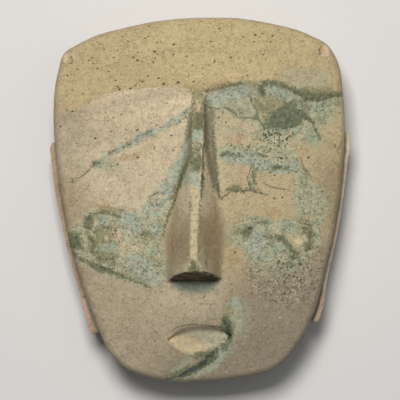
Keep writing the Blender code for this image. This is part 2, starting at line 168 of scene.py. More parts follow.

# %% [markdown]
# The outline is given as few points, so it is smoothed into a curve before anything is read from it.
# Blender has curve objects for this, but every ring of the side wall needs the same curve moved in or out by
# its own distance, so a table of points and normals serves better.

# %% The outline as a smooth curve
CURVE_STEPS = 48


def smoothstep(low, high, value):
    share = np.clip((value - low) / (high - low), 0.0, 1.0)
    return share * share * (3.0 - 2.0 * share)


class Outline:
    """A smooth closed curve through the outline's points, that rings are read from."""

    def __init__(self):
        points = np.array(OUTLINE) * (HALF_WIDTH, HALF_HEIGHT)
        after, before = np.roll(points, -1, 0), np.roll(points, 1, 0)
        ahead = np.linalg.norm(after - points, axis=1)[:, None]
        behind = np.linalg.norm(points - before, axis=1)[:, None]
        slope = ((after - points) / ahead * behind + (points - before) / behind * ahead) / (ahead + behind)
        share = (np.arange(CURVE_STEPS) / CURVE_STEPS)[:, None]
        stretches = []
        for index in range(len(points)):
            following = (index + 1) % len(points)
            stretches.append(
                (2 * share**3 - 3 * share**2 + 1) * points[index]
                + (share**3 - 2 * share**2 + share) * ahead[index] * slope[index]
                + (3 * share**2 - 2 * share**3) * points[following]
                + (share**3 - share**2) * ahead[index] * slope[following]
            )
        self.points = np.vstack([*stretches, stretches[0][:1]])
        self.at = np.arange(len(self.points)) / CURVE_STEPS
        run = np.roll(self.points[:-1], -1, 0) - np.roll(self.points[:-1], 1, 0)
        normals = np.stack([run[:, 1], -run[:, 0]], 1) / np.linalg.norm(run, axis=1)[:, None]
        self.normals = np.vstack([normals, normals[:1]])

    def inset(self, places, distance):
        """Points of the curve at these places, moved inwards by a distance."""
        x = np.interp(places, self.at, self.points[:, 0]) - np.interp(places, self.at,
                                                                      self.normals[:, 0]) * distance
        y = np.interp(places, self.at, self.points[:, 1]) - np.interp(places, self.at,
                                                                      self.normals[:, 1]) * distance
        return np.stack([x, y], -1)

    def places(self, start, end, values, axis, distance):
        """Where, between two of its points, the inset curve reaches these values of x or y."""
        end = end if end > start else end + len(OUTLINE)
        at = np.arange(start * CURVE_STEPS, end * CURVE_STEPS + 1) / CURVE_STEPS
        reached = self.inset(at % len(OUTLINE), distance)[:, axis]
        if reached[-1] < reached[0]:
            at, reached = at[::-1], reached[::-1]
        return np.interp(values, reached, at) % len(OUTLINE)


outline = Outline()
print("The curve has", len(outline.at), "steps")

# %% [markdown]
# Now the height of the front. The forehead, cheeks and chin are one shallow dome. A step at the brow and a
# scoop below it make the eye hollows, and the nose is a wedge laid over them. Taking the higher of two
# surfaces, with the valley between them a little filled, gives the crease that a grinding stone leaves along
# the nose.

# %% The height of the face
SIDE_CURVE, TOP_CURVE, CHIN_CURVE, LID_CURVE = 3, 1.4, 1.6, 2.8
CREASE_DEPTH, CREASE_WIDTHS, CREASE_LIP = 0.0022, (0.0042, 0.0050), 0.0030
FLANK_FADES = (-0.25, 0.25), (0.50, 0.60)
CREASE_FADES = (-0.05, 0.25), (0.50, 0.585)
LEAST_REACH, LEAST_RISE = 0.0005, 0.0004
EYE_EDGE, MOUTH_EDGE, MOUTH_LEAN, MOUTH_SHARE = (0.55, 1.08), (0.40, 1.12), 0.30, 0.95


def fading(up, fades):
    """1 at the heights between two fades, and 0 below the first and above the second."""
    return smoothstep(*fades[0], up) * (1 - smoothstep(*fades[1], up))


def leaning(line, up):
    """The x of a line that leans from its upper end, at the nose's root, to its lower end, at its tip."""
    share = (up - NOSE_TIP) / (NOSE_ROOT - NOSE_TIP)
    return line[1] + (line[0] - line[1]) * np.clip(share, -0.2, 1.2)


def width_at(table, up):
    """A half width read from its table at a height in shares."""
    heights, widths = zip(*table)
    return np.interp(up, heights, widths)


def brow_line(across):
    return BROW_MIDDLE - BROW_BEND * across**2 + BROW_TILT * across


def bare_face(x, y):
    """The height of the face without its nose, eyes and mouth."""
    across, up = x / HALF_WIDTH, y / HALF_HEIGHT
    height = CHEEK_DEPTH - SIDE_FALL * np.abs(across) ** SIDE_CURVE
    height = height - TOP_FALL * np.clip((up - TOP_FALL_FROM) / (1 - TOP_FALL_FROM), 0, None) ** TOP_CURVE
    height = height - CHIN_FALL * np.clip((-up - CHIN_FALL_FROM) / (1 - CHIN_FALL_FROM), 0,
                                          None) ** CHIN_CURVE
    below_brow = brow_line(across) - up
    scoop = smoothstep(0.0, BROW_STEP, below_brow) * (1 - smoothstep(*SOCKET_FADE, below_brow))
    return height - SOCKET_DEPTH * (1 - SOCKET_SHALLOWING * np.clip(np.abs(across), 0, 1)) * scoop


def rounded_maximum(first, second, blend):
    """The higher of two surfaces, with the valley between them filled over a height of blend."""
    overlap = np.clip(blend - np.abs(first - second), 0, None)
    return np.maximum(first, second) + overlap**2 / (4 * blend)


def face_height(x, y):
    """The height of the face with its nose, above the plane of the back rim."""
    up = y / HALF_HEIGHT
    foot_line, ridge_line = leaning(FOOT_LEAN, up), leaning(RIDGE_LEAN, up)
    foot, ridge_half = width_at(NOSE_HALF_WIDTHS, up), width_at(RIDGE_HALF_WIDTHS, up)
    aside = np.abs(x - foot_line)
    flank = FLANK_RISE * np.exp(-((np.clip(aside - foot, 0, None) / FLANK_WIDTH) ** 2))
    skin = bare_face(x, y) + flank * fading(up, FLANK_FADES)
    forehead = bare_face(np.zeros_like(x), np.full_like(x, BROW_MIDDLE * HALF_HEIGHT))
    root_height = forehead - ROOT_BELOW_FOREHEAD
    down = (NOSE_ROOT - up) / (NOSE_ROOT - NOSE_TIP)
    ridge = root_height + (CHEEK_DEPTH + NOSE_RISE - root_height) * down
    reach = foot - ridge_half + np.where(x < ridge_line, ridge_line - foot_line, foot_line - ridge_line)
    outwards = np.clip(np.abs(x - ridge_line) - ridge_half, 0, None) / np.clip(reach, LEAST_REACH, None)
    side = ridge - np.clip(ridge - skin, LEAST_RISE, None) * outwards**SIDE_ROUNDNESS
    underside = CHEEK_DEPTH + NOSE_RISE + (y - NOSE_TIP * HALF_HEIGHT) * NOSE_RISE / UNDERSIDE_LENGTH
    return rounded_maximum(skin, np.minimum(side, underside), FOOT_BLEND)


def lens_share(x, y, shape):
    """0 at the middle line of an eye or the mouth, 1 on its edge and more outside, then the same signed."""
    turn = math.radians(shape["turn"])
    dx, dy = x - shape["middle"][0] * HALF_WIDTH, y - shape["middle"][1] * HALF_HEIGHT
    along = (dx * math.cos(turn) + dy * math.sin(turn)) / shape["half"]
    out = -dx * math.sin(turn) + dy * math.cos(turn)
    reach = np.where(out > 0, shape["up"] * (1 - np.abs(along) ** LID_CURVE), shape["down"] * (1 - along**2))
    inside = np.clip(reach, 1e-5, None)
    return np.where(np.abs(along) < 1, np.abs(out) / inside, 9.0), out / inside


def creases(x, y):
    """How deep the soft grooves lie that run down both sides of the upper nose."""
    up = y / HALF_HEIGHT
    aside = np.abs(x - leaning(FOOT_LEAN, up)) - width_at(NOSE_HALF_WIDTHS, up)
    width = np.where(x < 0, CREASE_WIDTHS[0], CREASE_WIDTHS[1])
    groove = np.exp(-((np.clip(aside, 0, None) / width) ** 2)) * smoothstep(-CREASE_LIP, 0.0, aside)
    return CREASE_DEPTH * groove * fading(up, CREASE_FADES)


def carved_height(x, y):
    """The height with the creases, the eyes and the mouth cut into it."""
    height = face_height(x, y) - creases(x, y)
    for eye in (LEFT_EYE, RIGHT_EYE):
        share, _ = lens_share(x, y, eye)
        height = height - eye["cut"] * (1 - smoothstep(*EYE_EDGE, share))
    share, side = lens_share(x, y, MOUTH)
    bowl = (1 - smoothstep(*MOUTH_EDGE, share)) * (1 + MOUTH_LEAN * np.clip(side, -1, 1))
    return height - MOUTH["cut"] * MOUTH_SHARE * bowl


probe = np.array([0.0, 0.03])
print("Height at the nose and the cheek:", np.round(1000 * carved_height(probe, probe * 0 - 0.035), 1), "mm")

# %% [markdown]
# The front is a grid of points, pulled so that its columns run along the nose and its rows along the brow. A
# remesh would give even squares, but it blunts the ridge and the step, which are what the face is read by.

# %% The plan of the front
SIDE_COLUMNS, NOSE_COLUMNS, RIDGE_COLUMNS = 90, 16, 8
ROWS_BELOW_NOSE, ROWS_UNDER_NOSE, ROWS_BESIDE_NOSE, BROW_ROWS, ROWS_ABOVE_BROW = 72, 10, 112, 14, 44


def row_share(up):
    """The share of the way up the front, along its middle, that a height in shares is at."""
    return (up * HALF_HEIGHT + HALF_HEIGHT - EDGE_WIDTH) / (MASK_HEIGHT - 2 * EDGE_WIDTH)


def row_shares():
    stations = [
        (0.0, ROWS_BELOW_NOSE),
        (row_share(NOSE_TIP - UNDERSIDE_LENGTH / HALF_HEIGHT), ROWS_UNDER_NOSE),
        (row_share(NOSE_TIP), ROWS_BESIDE_NOSE),
        (row_share(BROW_MIDDLE - BROW_STEP), BROW_ROWS),
        (row_share(BROW_MIDDLE), ROWS_ABOVE_BROW),
        (1.0, 0),
    ]
    rows = []
    for (low, count), (high, _) in zip(stations, stations[1:]):
        rows.extend(low + (high - low) * step / count for step in range(count))
    return np.array([*rows, 1.0])


def brow_pull(rows, across, straight_brow):
    """How far each row moves, at one place across, so that the brow's row runs along the brow."""
    brow = row_share(BROW_MIDDLE)
    rising = smoothstep(row_share(NOSE_TIP), row_share(BROW_MIDDLE - BROW_STEP), rows)
    weight = np.where(rows < brow, rising, 1 - np.clip((rows - brow) / (1 - brow), 0, 1))
    return weight * (brow_line(across) * HALF_HEIGHT - straight_brow)


def front_grid():
    """Plan points by row and column, and the place of each point of the border on the outline."""
    rows = row_shares()
    low_left, low_right, high_left, high_right = (
        outline.inset(float(corner), EDGE_WIDTH) for corner in (LOWER_LEFT, LOWER_RIGHT, UPPER_LEFT,
                                                                UPPER_RIGHT))
    left_y = low_left[1] + rows * (high_left[1] - low_left[1])
    right_y = low_right[1] + rows * (high_right[1] - low_right[1])
    brow = row_share(BROW_MIDDLE)
    left_y = left_y + brow_pull(rows, -1.0, low_left[1] + brow * (high_left[1] - low_left[1]))
    right_y = right_y + brow_pull(rows, 1.0, low_right[1] + brow * (high_right[1] - low_right[1]))
    left_at = outline.places(UPPER_LEFT, LOWER_LEFT, left_y, 1, EDGE_WIDTH)
    right_at = outline.places(LOWER_RIGHT, UPPER_RIGHT, right_y, 1, EDGE_WIDTH)
    left_x = outline.inset(left_at, EDGE_WIDTH)[:, 0]
    right_x = outline.inset(right_at, EDGE_WIDTH)[:, 0]
    up = -1 + 2 * rows
    foot, ridge = leaning(FOOT_LEAN, up), leaning(RIDGE_LEAN, up)
    half, ridge_half = width_at(NOSE_HALF_WIDTHS, up), width_at(RIDGE_HALF_WIDTHS, up)
    stations = [left_x, foot - half, ridge - ridge_half, ridge + ridge_half, foot + half, right_x]
    counts = [SIDE_COLUMNS, NOSE_COLUMNS, RIDGE_COLUMNS, NOSE_COLUMNS, SIDE_COLUMNS]
    lines = []
    for low, high, count in zip(stations, stations[1:], counts):
        lines += [low + (high - low) * step / count for step in range(count)]
    x = np.stack([*lines, right_x], 1)
    brow_across = np.array([np.interp(brow, rows, column) for column in x.T]) / HALF_WIDTH
    bottom_at = outline.places(LOWER_LEFT, LOWER_RIGHT, x[0], 0, EDGE_WIDTH)
    top_at = outline.places(UPPER_RIGHT, UPPER_LEFT, x[-1], 0, EDGE_WIDTH)
    bottom_y = outline.inset(bottom_at, EDGE_WIDTH)[:, 1]
    top_y = outline.inset(top_at, EDGE_WIDTH)[:, 1]
    y = (1 - rows)[:, None] * bottom_y + rows[:, None] * top_y
    for column in range(x.shape[1]):
        straight_brow = (1 - brow) * bottom_y[column] + brow * top_y[column]
        y[:, column] += brow_pull(rows, brow_across[column], straight_brow)
    y[:, 0], y[:, -1] = left_y, right_y
    at = np.concatenate([left_at[:0:-1], bottom_at[:-1], right_at[:-1], top_at[:0:-1]])
    return x, y, at


plan_x, plan_y, border_at = front_grid()
print("The front has", plan_x.shape[0], "rows and", plan_x.shape[1], "columns")

# %% [markdown]
# Behind the front come the side wall, the ears and the hollow, and all of them follow the outline. The hollow
# is a fuller shape than an oval, with a slope that turns up into a flat floor. The ears are flanges on the
# two sides: a table gives how far each stands out at each height, and both fade out at their ends.

# %% Where the ears and the hollow run
EAR_FADE_OUT, EAR_FADE_IN = 0.006, 0.002


def hollow_outline(directions, turn):
    """The hollow's oval where its slope has turned by an angle, one point in each direction."""
    rim = outline.inset(outline.at, WALL_TAPER)
    low, high = rim.min(0), rim.max(0)
    half = (high - low) / 2
    turned = (directions - (low + high) / 2) / half
    reach = (np.abs(turned) ** HOLLOW_SQUARENESS).sum(-1) ** (1 / HOLLOW_SQUARENESS)
    inset = RIM_WALL + HOLLOW_SLOPE * (1 - math.cos(turn))
    oval = turned / reach[..., None] * (half - inset)
    left = outline.places(UPPER_LEFT, LOWER_LEFT, oval[..., 1], 1, WALL_TAPER)
    right = outline.places(LOWER_RIGHT, UPPER_RIGHT, oval[..., 1], 1, WALL_TAPER)
    face_half = (outline.inset(right, WALL_TAPER) - outline.inset(left, WALL_TAPER))[..., 0] / 2
    oval[..., 0] *= face_half / half[0]
    return (low + high) / 2 + oval


def ear_reach(at, y):
    """How far the ear's edge stands out of the outline at each place, and 0 off the ears."""
    reach = np.zeros(len(at))
    for stations, start, end in ((LEFT_EAR, UPPER_LEFT, LOWER_LEFT), (RIGHT_EAR, LOWER_RIGHT, UPPER_RIGHT)):
        heights, out = zip(*stations)
        on_side = (at >= start) & (at <= end)
        up = y / HALF_HEIGHT
        lower_end = heights[0] - EAR_FADE_OUT, heights[0] + EAR_FADE_IN
        upper_end = heights[-1] - EAR_FADE_IN, heights[-1] + EAR_FADE_OUT
        within = fading(up, (lower_end, upper_end))
        reach = np.where(on_side, np.interp(up, heights, out) * within, reach)
    return reach


ear_middle = ear_reach(outline.places(LOWER_RIGHT, UPPER_RIGHT, np.zeros(1), 1, 0.0), np.zeros(1))
print("Halfway up, the right ear painted lighter stands out by", np.round(1000 * ear_middle, 1), "mm")

# %% [markdown]
# The rest of the mesh is rings. Each new ring is a curve like the border of the grid, further on, and a strip
# of faces joins it to the last one. The first rings go over the rounded edge in a quarter turn.

# %% The front and its rounded edge
EDGE_RINGS = 6


class Shell:
    """Collects rings of points into one closed mesh."""

    def __init__(self, first_ring, points, faces):
        self.points, self.faces, self.ring = points, faces, first_ring

    def add_ring(self, plan, heights, pairs=False):
        """Joins a new ring to the last one, or two of the last ring's points to each new one."""
        old, step = self.ring, 2 if pairs else 1
        start, count = len(self.points), len(old) // step
        self.points.extend(zip(plan[::step, 0], plan[::step, 1],
                               np.broadcast_to(heights, len(plan))[::step]))
        self.ring = list(range(start, start + count))
        for index in range(count):
            following = (index + 1) % count
            here, there = self.ring[index], self.ring[following]
            if pairs:
                first, middle, last = old[2 * index], old[2 * index + 1], old[2 * index + 2 - len(old)]
                self.faces += [(middle, first, here), (last, middle, here, there)]
            else:
                self.faces.append((old[following], old[index], here, there))


def front_shell():
    """The grid of the front, with its border as the first ring."""
    rows, columns = plan_x.shape
    points = list(zip(plan_x.ravel(), plan_y.ravel(), carved_height(plan_x, plan_y).ravel()))
    index = np.arange(rows * columns).reshape(rows, columns)
    corners = [index[:-1, :-1], index[:-1, 1:], index[1:, 1:], index[1:, :-1]]
    faces = list(zip(*(corner.ravel().tolist() for corner in corners)))
    border = np.concatenate([index[:0:-1, 0], index[0, :-1], index[:-1, -1], index[-1, :0:-1]]).tolist()
    return Shell(border, points, faces)


def add_edge(shell):
    """Rings over the rounded edge. Gives the height that the last one has at each place."""
    for step in range(1, EDGE_RINGS + 1):
        angle = math.pi / 2 * step / EDGE_RINGS
        plan = outline.inset(border_at, EDGE_WIDTH * (1 - math.sin(angle)))
        heights = carved_height(plan[:, 0], plan[:, 1]) - EDGE_DROP * (1 - math.cos(angle))
        shell.add_ring(plan, heights)
    return heights


stone_shell = front_shell()
edge_height = add_edge(stone_shell)
print("The edge has", len(border_at), "points round it")

# %% [markdown]
# The next rings go down the side wall, across the flat back rim and into the hollow. At the height of the
# ears the wall simply moves outwards, with a ring close to each side of the step. Fewer points are needed
# behind, where the stone is plain, so three rings on the way join their points in pairs.

# %% The wall, the ears and the hollow
EAR_CORNER, EAR_CHAMFER, EAR_STEP, EAR_LEAD = 0.0007, 0.0005, 0.0002, 0.0016
LOWEST_EDGE, HIGHEST_SHARE = 0.036, 0.97
EAR_LEVELS, WALL_LEVELS = (0.6, 0.2, -0.2, -0.6), (0.55, 0.0)
BEVEL_INSET, BEVEL_HEIGHT = BACK_BEVEL * 0.35, BACK_BEVEL * 0.3
HOLLOW_RINGS, FLOOR_RINGS, FLOOR_PAIRS = 12, 10, (2, 6)


def add_wall(shell):
    """Rings down the side wall, out and back over the ears, and round the bevel to the flat rim."""
    ear_front = CHEEK_DEPTH - EAR_SET_BACK
    ear_back = ear_front - EAR_THICKNESS
    reach = ear_reach(border_at, outline.inset(border_at, 0.0)[:, 1])
    mean, half = (ear_front + ear_back) / 2, EAR_THICKNESS / 2
    corner = half - EAR_CORNER
    for level, out in (
        (half + EAR_LEAD, 0.0), (half + EAR_STEP, 0.0), (half, 1.0), (corner, 1.0),
        *((half * share, 1.0) for share in EAR_LEVELS),
        (-corner, 1.0), (-half, 1.0), (-half - EAR_STEP, 0.0), (-half - EAR_LEAD, 0.0),
    ):
        share = np.clip((mean + level) / np.minimum(edge_height, LOWEST_EDGE), 0, HIGHEST_SHARE)
        wall = WALL_TAPER * (1 - share)
        edge = np.where(abs(level) > half - EAR_CORNER / 2, np.clip(reach - EAR_CHAMFER, 0, None), reach)
        plan = outline.inset(border_at, wall - (wall + edge) * out * (reach > 1e-5))
        shell.add_ring(plan, np.minimum(mean + level, edge_height * HIGHEST_SHARE))
    for share in WALL_LEVELS:
        height = BACK_BEVEL + (ear_back - BACK_BEVEL) * share
        shell.add_ring(outline.inset(border_at, WALL_TAPER * (1 - height / CHEEK_DEPTH)), height)
    shell.add_ring(outline.inset(border_at, WALL_TAPER + BEVEL_INSET), BEVEL_HEIGHT)
    shell.add_ring(outline.inset(border_at, WALL_TAPER + BACK_BEVEL), 0.0)


def add_hollow(shell):
    """Rings up the slope of the hollow and across its floor, and a fan of faces in the middle."""
    rim = outline.inset(border_at, WALL_TAPER)
    for step in range(HOLLOW_RINGS + 1):
        turn = math.pi / 2 * step / HOLLOW_RINGS
        plan = hollow_outline(rim, turn)
        shell.add_ring(plan, HOLLOW_DEPTH * math.sin(turn), pairs=step == 0)
        rim = rim[::2] if step == 0 else rim
    floor_edge = hollow_outline(rim, math.pi / 2)
    centre = floor_edge.mean(0)
    for step in range(1, FLOOR_RINGS):
        plan = centre + (floor_edge - centre) * (1 - step / FLOOR_RINGS)
        shell.add_ring(plan, HOLLOW_DEPTH, pairs=step in FLOOR_PAIRS)
        if step in FLOOR_PAIRS:
            floor_edge = floor_edge[::2]
    middle = len(shell.points)
    shell.points.append((centre[0], centre[1], HOLLOW_DEPTH))
    count = len(shell.ring)
    shell.faces += [(shell.ring[(n + 1) % count], shell.ring[n], middle) for n in range(count)]


add_wall(stone_shell)
add_hollow(stone_shell)
stone = link(bpy.data.objects.new("carved_stone", bpy.data.meshes.new("carved_stone")))
stone.data.from_pydata(stone_shell.points, [], stone_shell.faces)
own_low, own_high = np.array(stone_shell.points).min(0), np.array(stone_shell.points).max(0)
shift = (Vector(MASK_LOW) + Vector(MASK_HIGH)) / 2 - Vector((own_low + own_high) / 2)
shift.z = 0
print("The shell has", len(stone_shell.faces), "faces, and is moved by",
      [round(1000 * s, 2) for s in shift], "mm")

# %% [markdown]
# The cord holes were drilled from both sides, so each is two cones that meet at a narrow waist. A Boolean
# cuts them as the drill did. It runs before the weathering, so that the mouths of the holes get worn like
# the rest.

# %% Drill the cord holes
HOLE_SIDES = 40
CUTTER_REACH = 0.0060


def drill(place):
    """Two cones from the front of a corner, slanting into the hollow."""
    mouth = np.array(place) * (HALF_WIDTH, HALF_HEIGHT)
    start = Vector((*mouth, float(face_height(mouth[:1], mouth[1:])[0])))
    turn = math.pi / 4
    end = Vector((*hollow_outline(mouth, turn), HOLLOW_DEPTH * math.sin(turn)))
    along, length = (end - start).normalized(), (end - start).length
    flare = (HOLE_MOUTH_RADIUS - HOLE_WAIST_RADIUS) / (length / 2)
    wide = HOLE_MOUTH_RADIUS + CUTTER_REACH * flare
    side = along.orthogonal().normalized()
    other = along.cross(side)
    cutter = bmesh.new()
    rings = []
    for reach, radius in ((-CUTTER_REACH, wide), (length / 2, HOLE_WAIST_RADIUS),
                          (length + CUTTER_REACH, wide)):
        turns = [math.tau * n / HOLE_SIDES for n in range(HOLE_SIDES)]
        centre = start + along * reach
        rims = [centre + radius * (side * math.cos(turn) + other * math.sin(turn)) for turn in turns]
        rings.append([cutter.verts.new(rim) for rim in rims])
    for first, second in zip(rings, rings[1:]):
        for n in range(HOLE_SIDES):
            following = (n + 1) % HOLE_SIDES
            cutter.faces.new((first[n], first[following], second[following], second[n]))
    cutter.faces.new(list(reversed(rings[0])))
    cutter.faces.new(rings[-1])
    bmesh.ops.recalc_face_normals(cutter, faces=cutter.faces)
    mesh = bpy.data.meshes.new("drill")
    cutter.to_mesh(mesh)
    cutter.free()
    return link(bpy.data.objects.new("drill", mesh))


def evaluated_copy(made, name):
    """The object's mesh as its modifiers leave it, as a plain mesh of its own."""
    bpy.context.view_layer.update()
    result = made.evaluated_get(bpy.context.evaluated_depsgraph_get())
    mesh = bpy.data.meshes.new_from_object(result)
    mesh.name = name
    return mesh


drills = [drill(LEFT_HOLE), drill(RIGHT_HOLE)]
for tool in drills:
    cut = stone.modifiers.new("hole", "BOOLEAN")
    cut.operation = "DIFFERENCE"
    cut.solver = "MANIFOLD"
    cut.object = tool
drilled = evaluated_copy(stone, "drilled")
drilled.materials.clear()
stone.modifiers.clear()
stone.data = drilled
for tool in drills:
    bpy.data.objects.remove(tool)
stone.data.transform(Matrix.Translation(shift))
print("Drilled, the stone has", len(stone.data.polygons), "faces")

# %% [markdown]
# The stone's own pattern follows its bedding: green and blue-green bands and veins that run through tan
# stone. Each is placed at the spot where it shows when the mask is seen straight on, so every point of the
# mesh gets its place in that picture first. A painted picture would fix the detail at one size. Here each
# layer is stored as a depth in millimetres, above zero inside the colour and below zero outside, and the
# material breaks its edge up.

# %% Where each point shows in the picture
PICTURE_PIXEL = PICTURE_FIELD / 400
PICTURE_MIDDLE = 199.5
MILLIMETRES = PICTURE_PIXEL * 1000


def point_values(mesh, part):
    """The places or normals of the mesh's points as an array."""
    values = np.empty(len(mesh.vertices) * 3)
    mesh.vertices.foreach_get(part, values)
    return values.reshape(-1, 3)


spots = point_values(stone.data, "co")
facing = point_values(stone.data, "normal")
spread = (CAMERA_HEIGHT - SHARP_HEIGHT) / (CAMERA_HEIGHT - spots[:, 2]) / PICTURE_PIXEL
SEEN_X = PICTURE_MIDDLE + spots[:, 0] * spread
SEEN_Y = PICTURE_MIDDLE - spots[:, 1] * spread
FRONT_HEIGHTS, FRONT_TURNS, UPWARD_TURNS = (0.010, 0.030), (-0.45, 0.0), (0.25, 0.6)
IN_FRONT = smoothstep(*FRONT_HEIGHTS, spots[:, 2]) * smoothstep(*FRONT_TURNS, facing[:, 2])
FACES_UP = smoothstep(*UPWARD_TURNS, facing[:, 2])
print("Points:", len(spots), "of which in front:", int((IN_FRONT > 0.5).sum()))

# %% [markdown]
# A few brushes are enough. A patch is a closed outline, a stroke is a line with a width at each of its
# points, and blots are round or long spots. All give the same kind of depth, so layers are joined by taking
# the larger one.

# %% The brushes
OUTSIDE = -9.0


def to_segment(first, second):
    """Distance of every point to one straight piece, the share along it, and the side it lies on."""
    run_x, run_y = second[0] - first[0], second[1] - first[1]
    length = math.hypot(run_x, run_y) + 1e-6
    share = np.clip(((SEEN_X - first[0]) * run_x + (SEEN_Y - first[1]) * run_y) / length**2, 0, 1)
    distance = np.hypot(SEEN_X - first[0] - share * run_x, SEEN_Y - first[1] - share * run_y)
    side = ((SEEN_X - first[0]) * run_y - (SEEN_Y - first[1]) * run_x) / length
    return distance, share, side


def patch(*corners):
    """Depth inside a closed outline, in millimetres."""
    nearest = np.full(len(SEEN_X), 99.0)
    inside = np.zeros(len(SEEN_X), bool)
    for first, second in zip(corners, corners[1:] + corners[:1]):
        nearest = np.minimum(nearest, to_segment(first, second)[0])
        if first[1] != second[1]:
            crosses = (first[1] > SEEN_Y) != (second[1] > SEEN_Y)
            at = first[0] + (SEEN_Y - first[1]) * (second[0] - first[0]) / (second[1] - first[1])
            inside ^= crosses & (SEEN_X < at)
    return np.where(inside, nearest, -nearest) * MILLIMETRES


def stroke(*stations):
    """Depth inside a line of (x, y, half width) stations, in millimetres."""
    depth = np.full(len(SEEN_X), -99.0)
    for first, second in zip(stations, stations[1:]):
        distance, share, _ = to_segment(first, second)
        depth = np.maximum(depth, first[2] + (second[2] - first[2]) * share - distance)
    return depth * MILLIMETRES


def blots(*places):
    """Depth inside round or long spots, each given as x, y, half width and half height."""
    depth = np.full(len(SEEN_X), OUTSIDE)
    for x, y, wide, high in places:
        reach = np.hypot((SEEN_X - x) / wide, (SEEN_Y - y) / high)
        depth = np.maximum(depth, (1 - reach) * min(wide, high) * MILLIMETRES)
    return depth


def together(*depths):
    return np.maximum.reduce(depths)


def store(name, values):
    """Writes one number, or three, per point to the mesh, for the material to read."""
    values = np.asarray(values, dtype=np.float32)
    flat = values.ndim == 1
    layer = stone.data.attributes.new(name, "FLOAT" if flat else "FLOAT_VECTOR", "POINT")
    layer.data.foreach_set("value" if flat else "vector", np.clip(values, OUTSIDE, 9).ravel())


print("A millimetre is", round(1 / MILLIMETRES, 2), "pixels of the picture")

# %% [markdown]
# The broad soft bands come first, because everything else lies on them. On the left cheek the green shows
# where the surface wore away. On the right it fills the brow, a band under the eye and a patch on the cheek,
# with tan stone left standing between them like islands.

# %% Soft green stone
LEFT_CHEEK = patch(
    (169, 190), (160, 192), (150, 196), (145, 203), (140, 208), (130, 212), (120, 210), (108, 209),
    (98, 210), (88, 212), (82, 216), (77, 223), (68, 228), (65, 238), (70, 252), (78, 262), (90, 269),
    (100, 272), (115, 277), (130, 282), (148, 288), (160, 286), (166, 278), (163, 262), (161, 245),
    (162, 230), (165, 216), (170, 204), (174, 192),
)
RIGHT_BROW = patch(
    (204, 96), (207, 91), (216, 89), (223, 87), (230, 83), (240, 81), (252, 82), (262, 80), (276, 80),
    (290, 84), (304, 88), (322, 88), (342, 90), (343, 100), (336, 112), (326, 122), (318, 128), (322, 140),
    (308, 144), (296, 138), (286, 134), (268, 134), (254, 138), (248, 134), (258, 128), (250, 119),
    (238, 119), (228, 113), (218, 111), (208, 108), (205, 102),
)
EYE_SPECKS = patch((260, 130), (274, 127), (290, 128), (294, 138), (286, 147), (268, 147), (259, 139))
RIGHT_BAND = patch(
    (218, 146), (226, 143), (240, 147), (252, 145), (264, 142), (282, 144), (296, 148), (299, 158),
    (303, 168), (310, 178), (318, 188), (325, 196), (328, 210), (322, 226), (312, 216), (296, 212),
    (291, 198), (296, 186), (290, 174), (276, 172), (262, 170), (254, 178), (257, 188), (249, 186),
    (249, 174), (250, 166), (238, 163), (226, 163), (219, 158),
)
RIGHT_CHEEK = patch(
    (232, 224), (242, 219), (252, 214), (264, 216), (278, 220), (292, 216), (304, 218), (318, 220),
    (321, 234), (318, 250), (306, 260), (300, 268), (286, 272), (270, 268), (258, 264), (246, 258),
    (240, 248), (232, 238),
)
CHIN_HALO = together(
    stroke((226, 320, 5), (230, 336, 6), (224, 350, 7), (212, 362, 6), (196, 372, 6), (172, 379, 5)),
    stroke((196, 354, 4), (186, 362, 4), (176, 370, 4)),
    stroke((234, 300, 6), (238, 312, 6), (236, 326, 5), (232, 340, 3)),
)
LEFT_FLANK = stroke((190, 130, 2.0), (186, 148, 4.5), (180, 162, 6), (172, 178, 7), (163, 191, 8))
# Painted shadow: a grey-green tint on the upper lip, where the nose casts its shadow.
UNDER_NOSE_SHADOW_TINT = patch((166, 282), (190, 281), (222, 281), (218, 290), (202, 293), (184, 292), (170, 288))
soft_green = together(EYE_SPECKS, LEFT_CHEEK, RIGHT_BROW, RIGHT_BAND, RIGHT_CHEEK, CHIN_HALO, LEFT_FLANK,
                      UNDER_NOSE_SHADOW_TINT)
ISLANDS = together(
    stroke((112, 222, 1.0), (116, 232, 1.8), (121, 242, 1.8), (124, 256, 1.8), (128, 270, 1.0)),
    stroke((121, 242, 1.2), (134, 246, 1.4), (146, 243, 0.8)),
    patch((290, 236), (296, 234), (304, 236), (308, 241), (302, 246), (294, 248)),
    patch((300, 140), (310, 138), (312, 150), (308, 160), (301, 157)),
)
store("soft_green", np.minimum(soft_green, -ISLANDS))
HAZE = together(
    blots((306, 78, 24, 11), (250, 108, 14, 12), (312, 110, 22, 16), (310, 138, 16, 12), (312, 200, 20, 16)),
    blots((250, 234, 26, 14), (276, 262, 26, 14), (108, 164, 12, 7), (156, 270, 14, 14), (240, 320, 14, 22)),
    blots((236, 130, 9, 5), (210, 120, 8, 20)),
)
store("haze", HAZE)
print("Soft green covers", round(100 * float(((soft_green > 0) & (IN_FRONT > 0.5)).mean())),
      "% of the points")
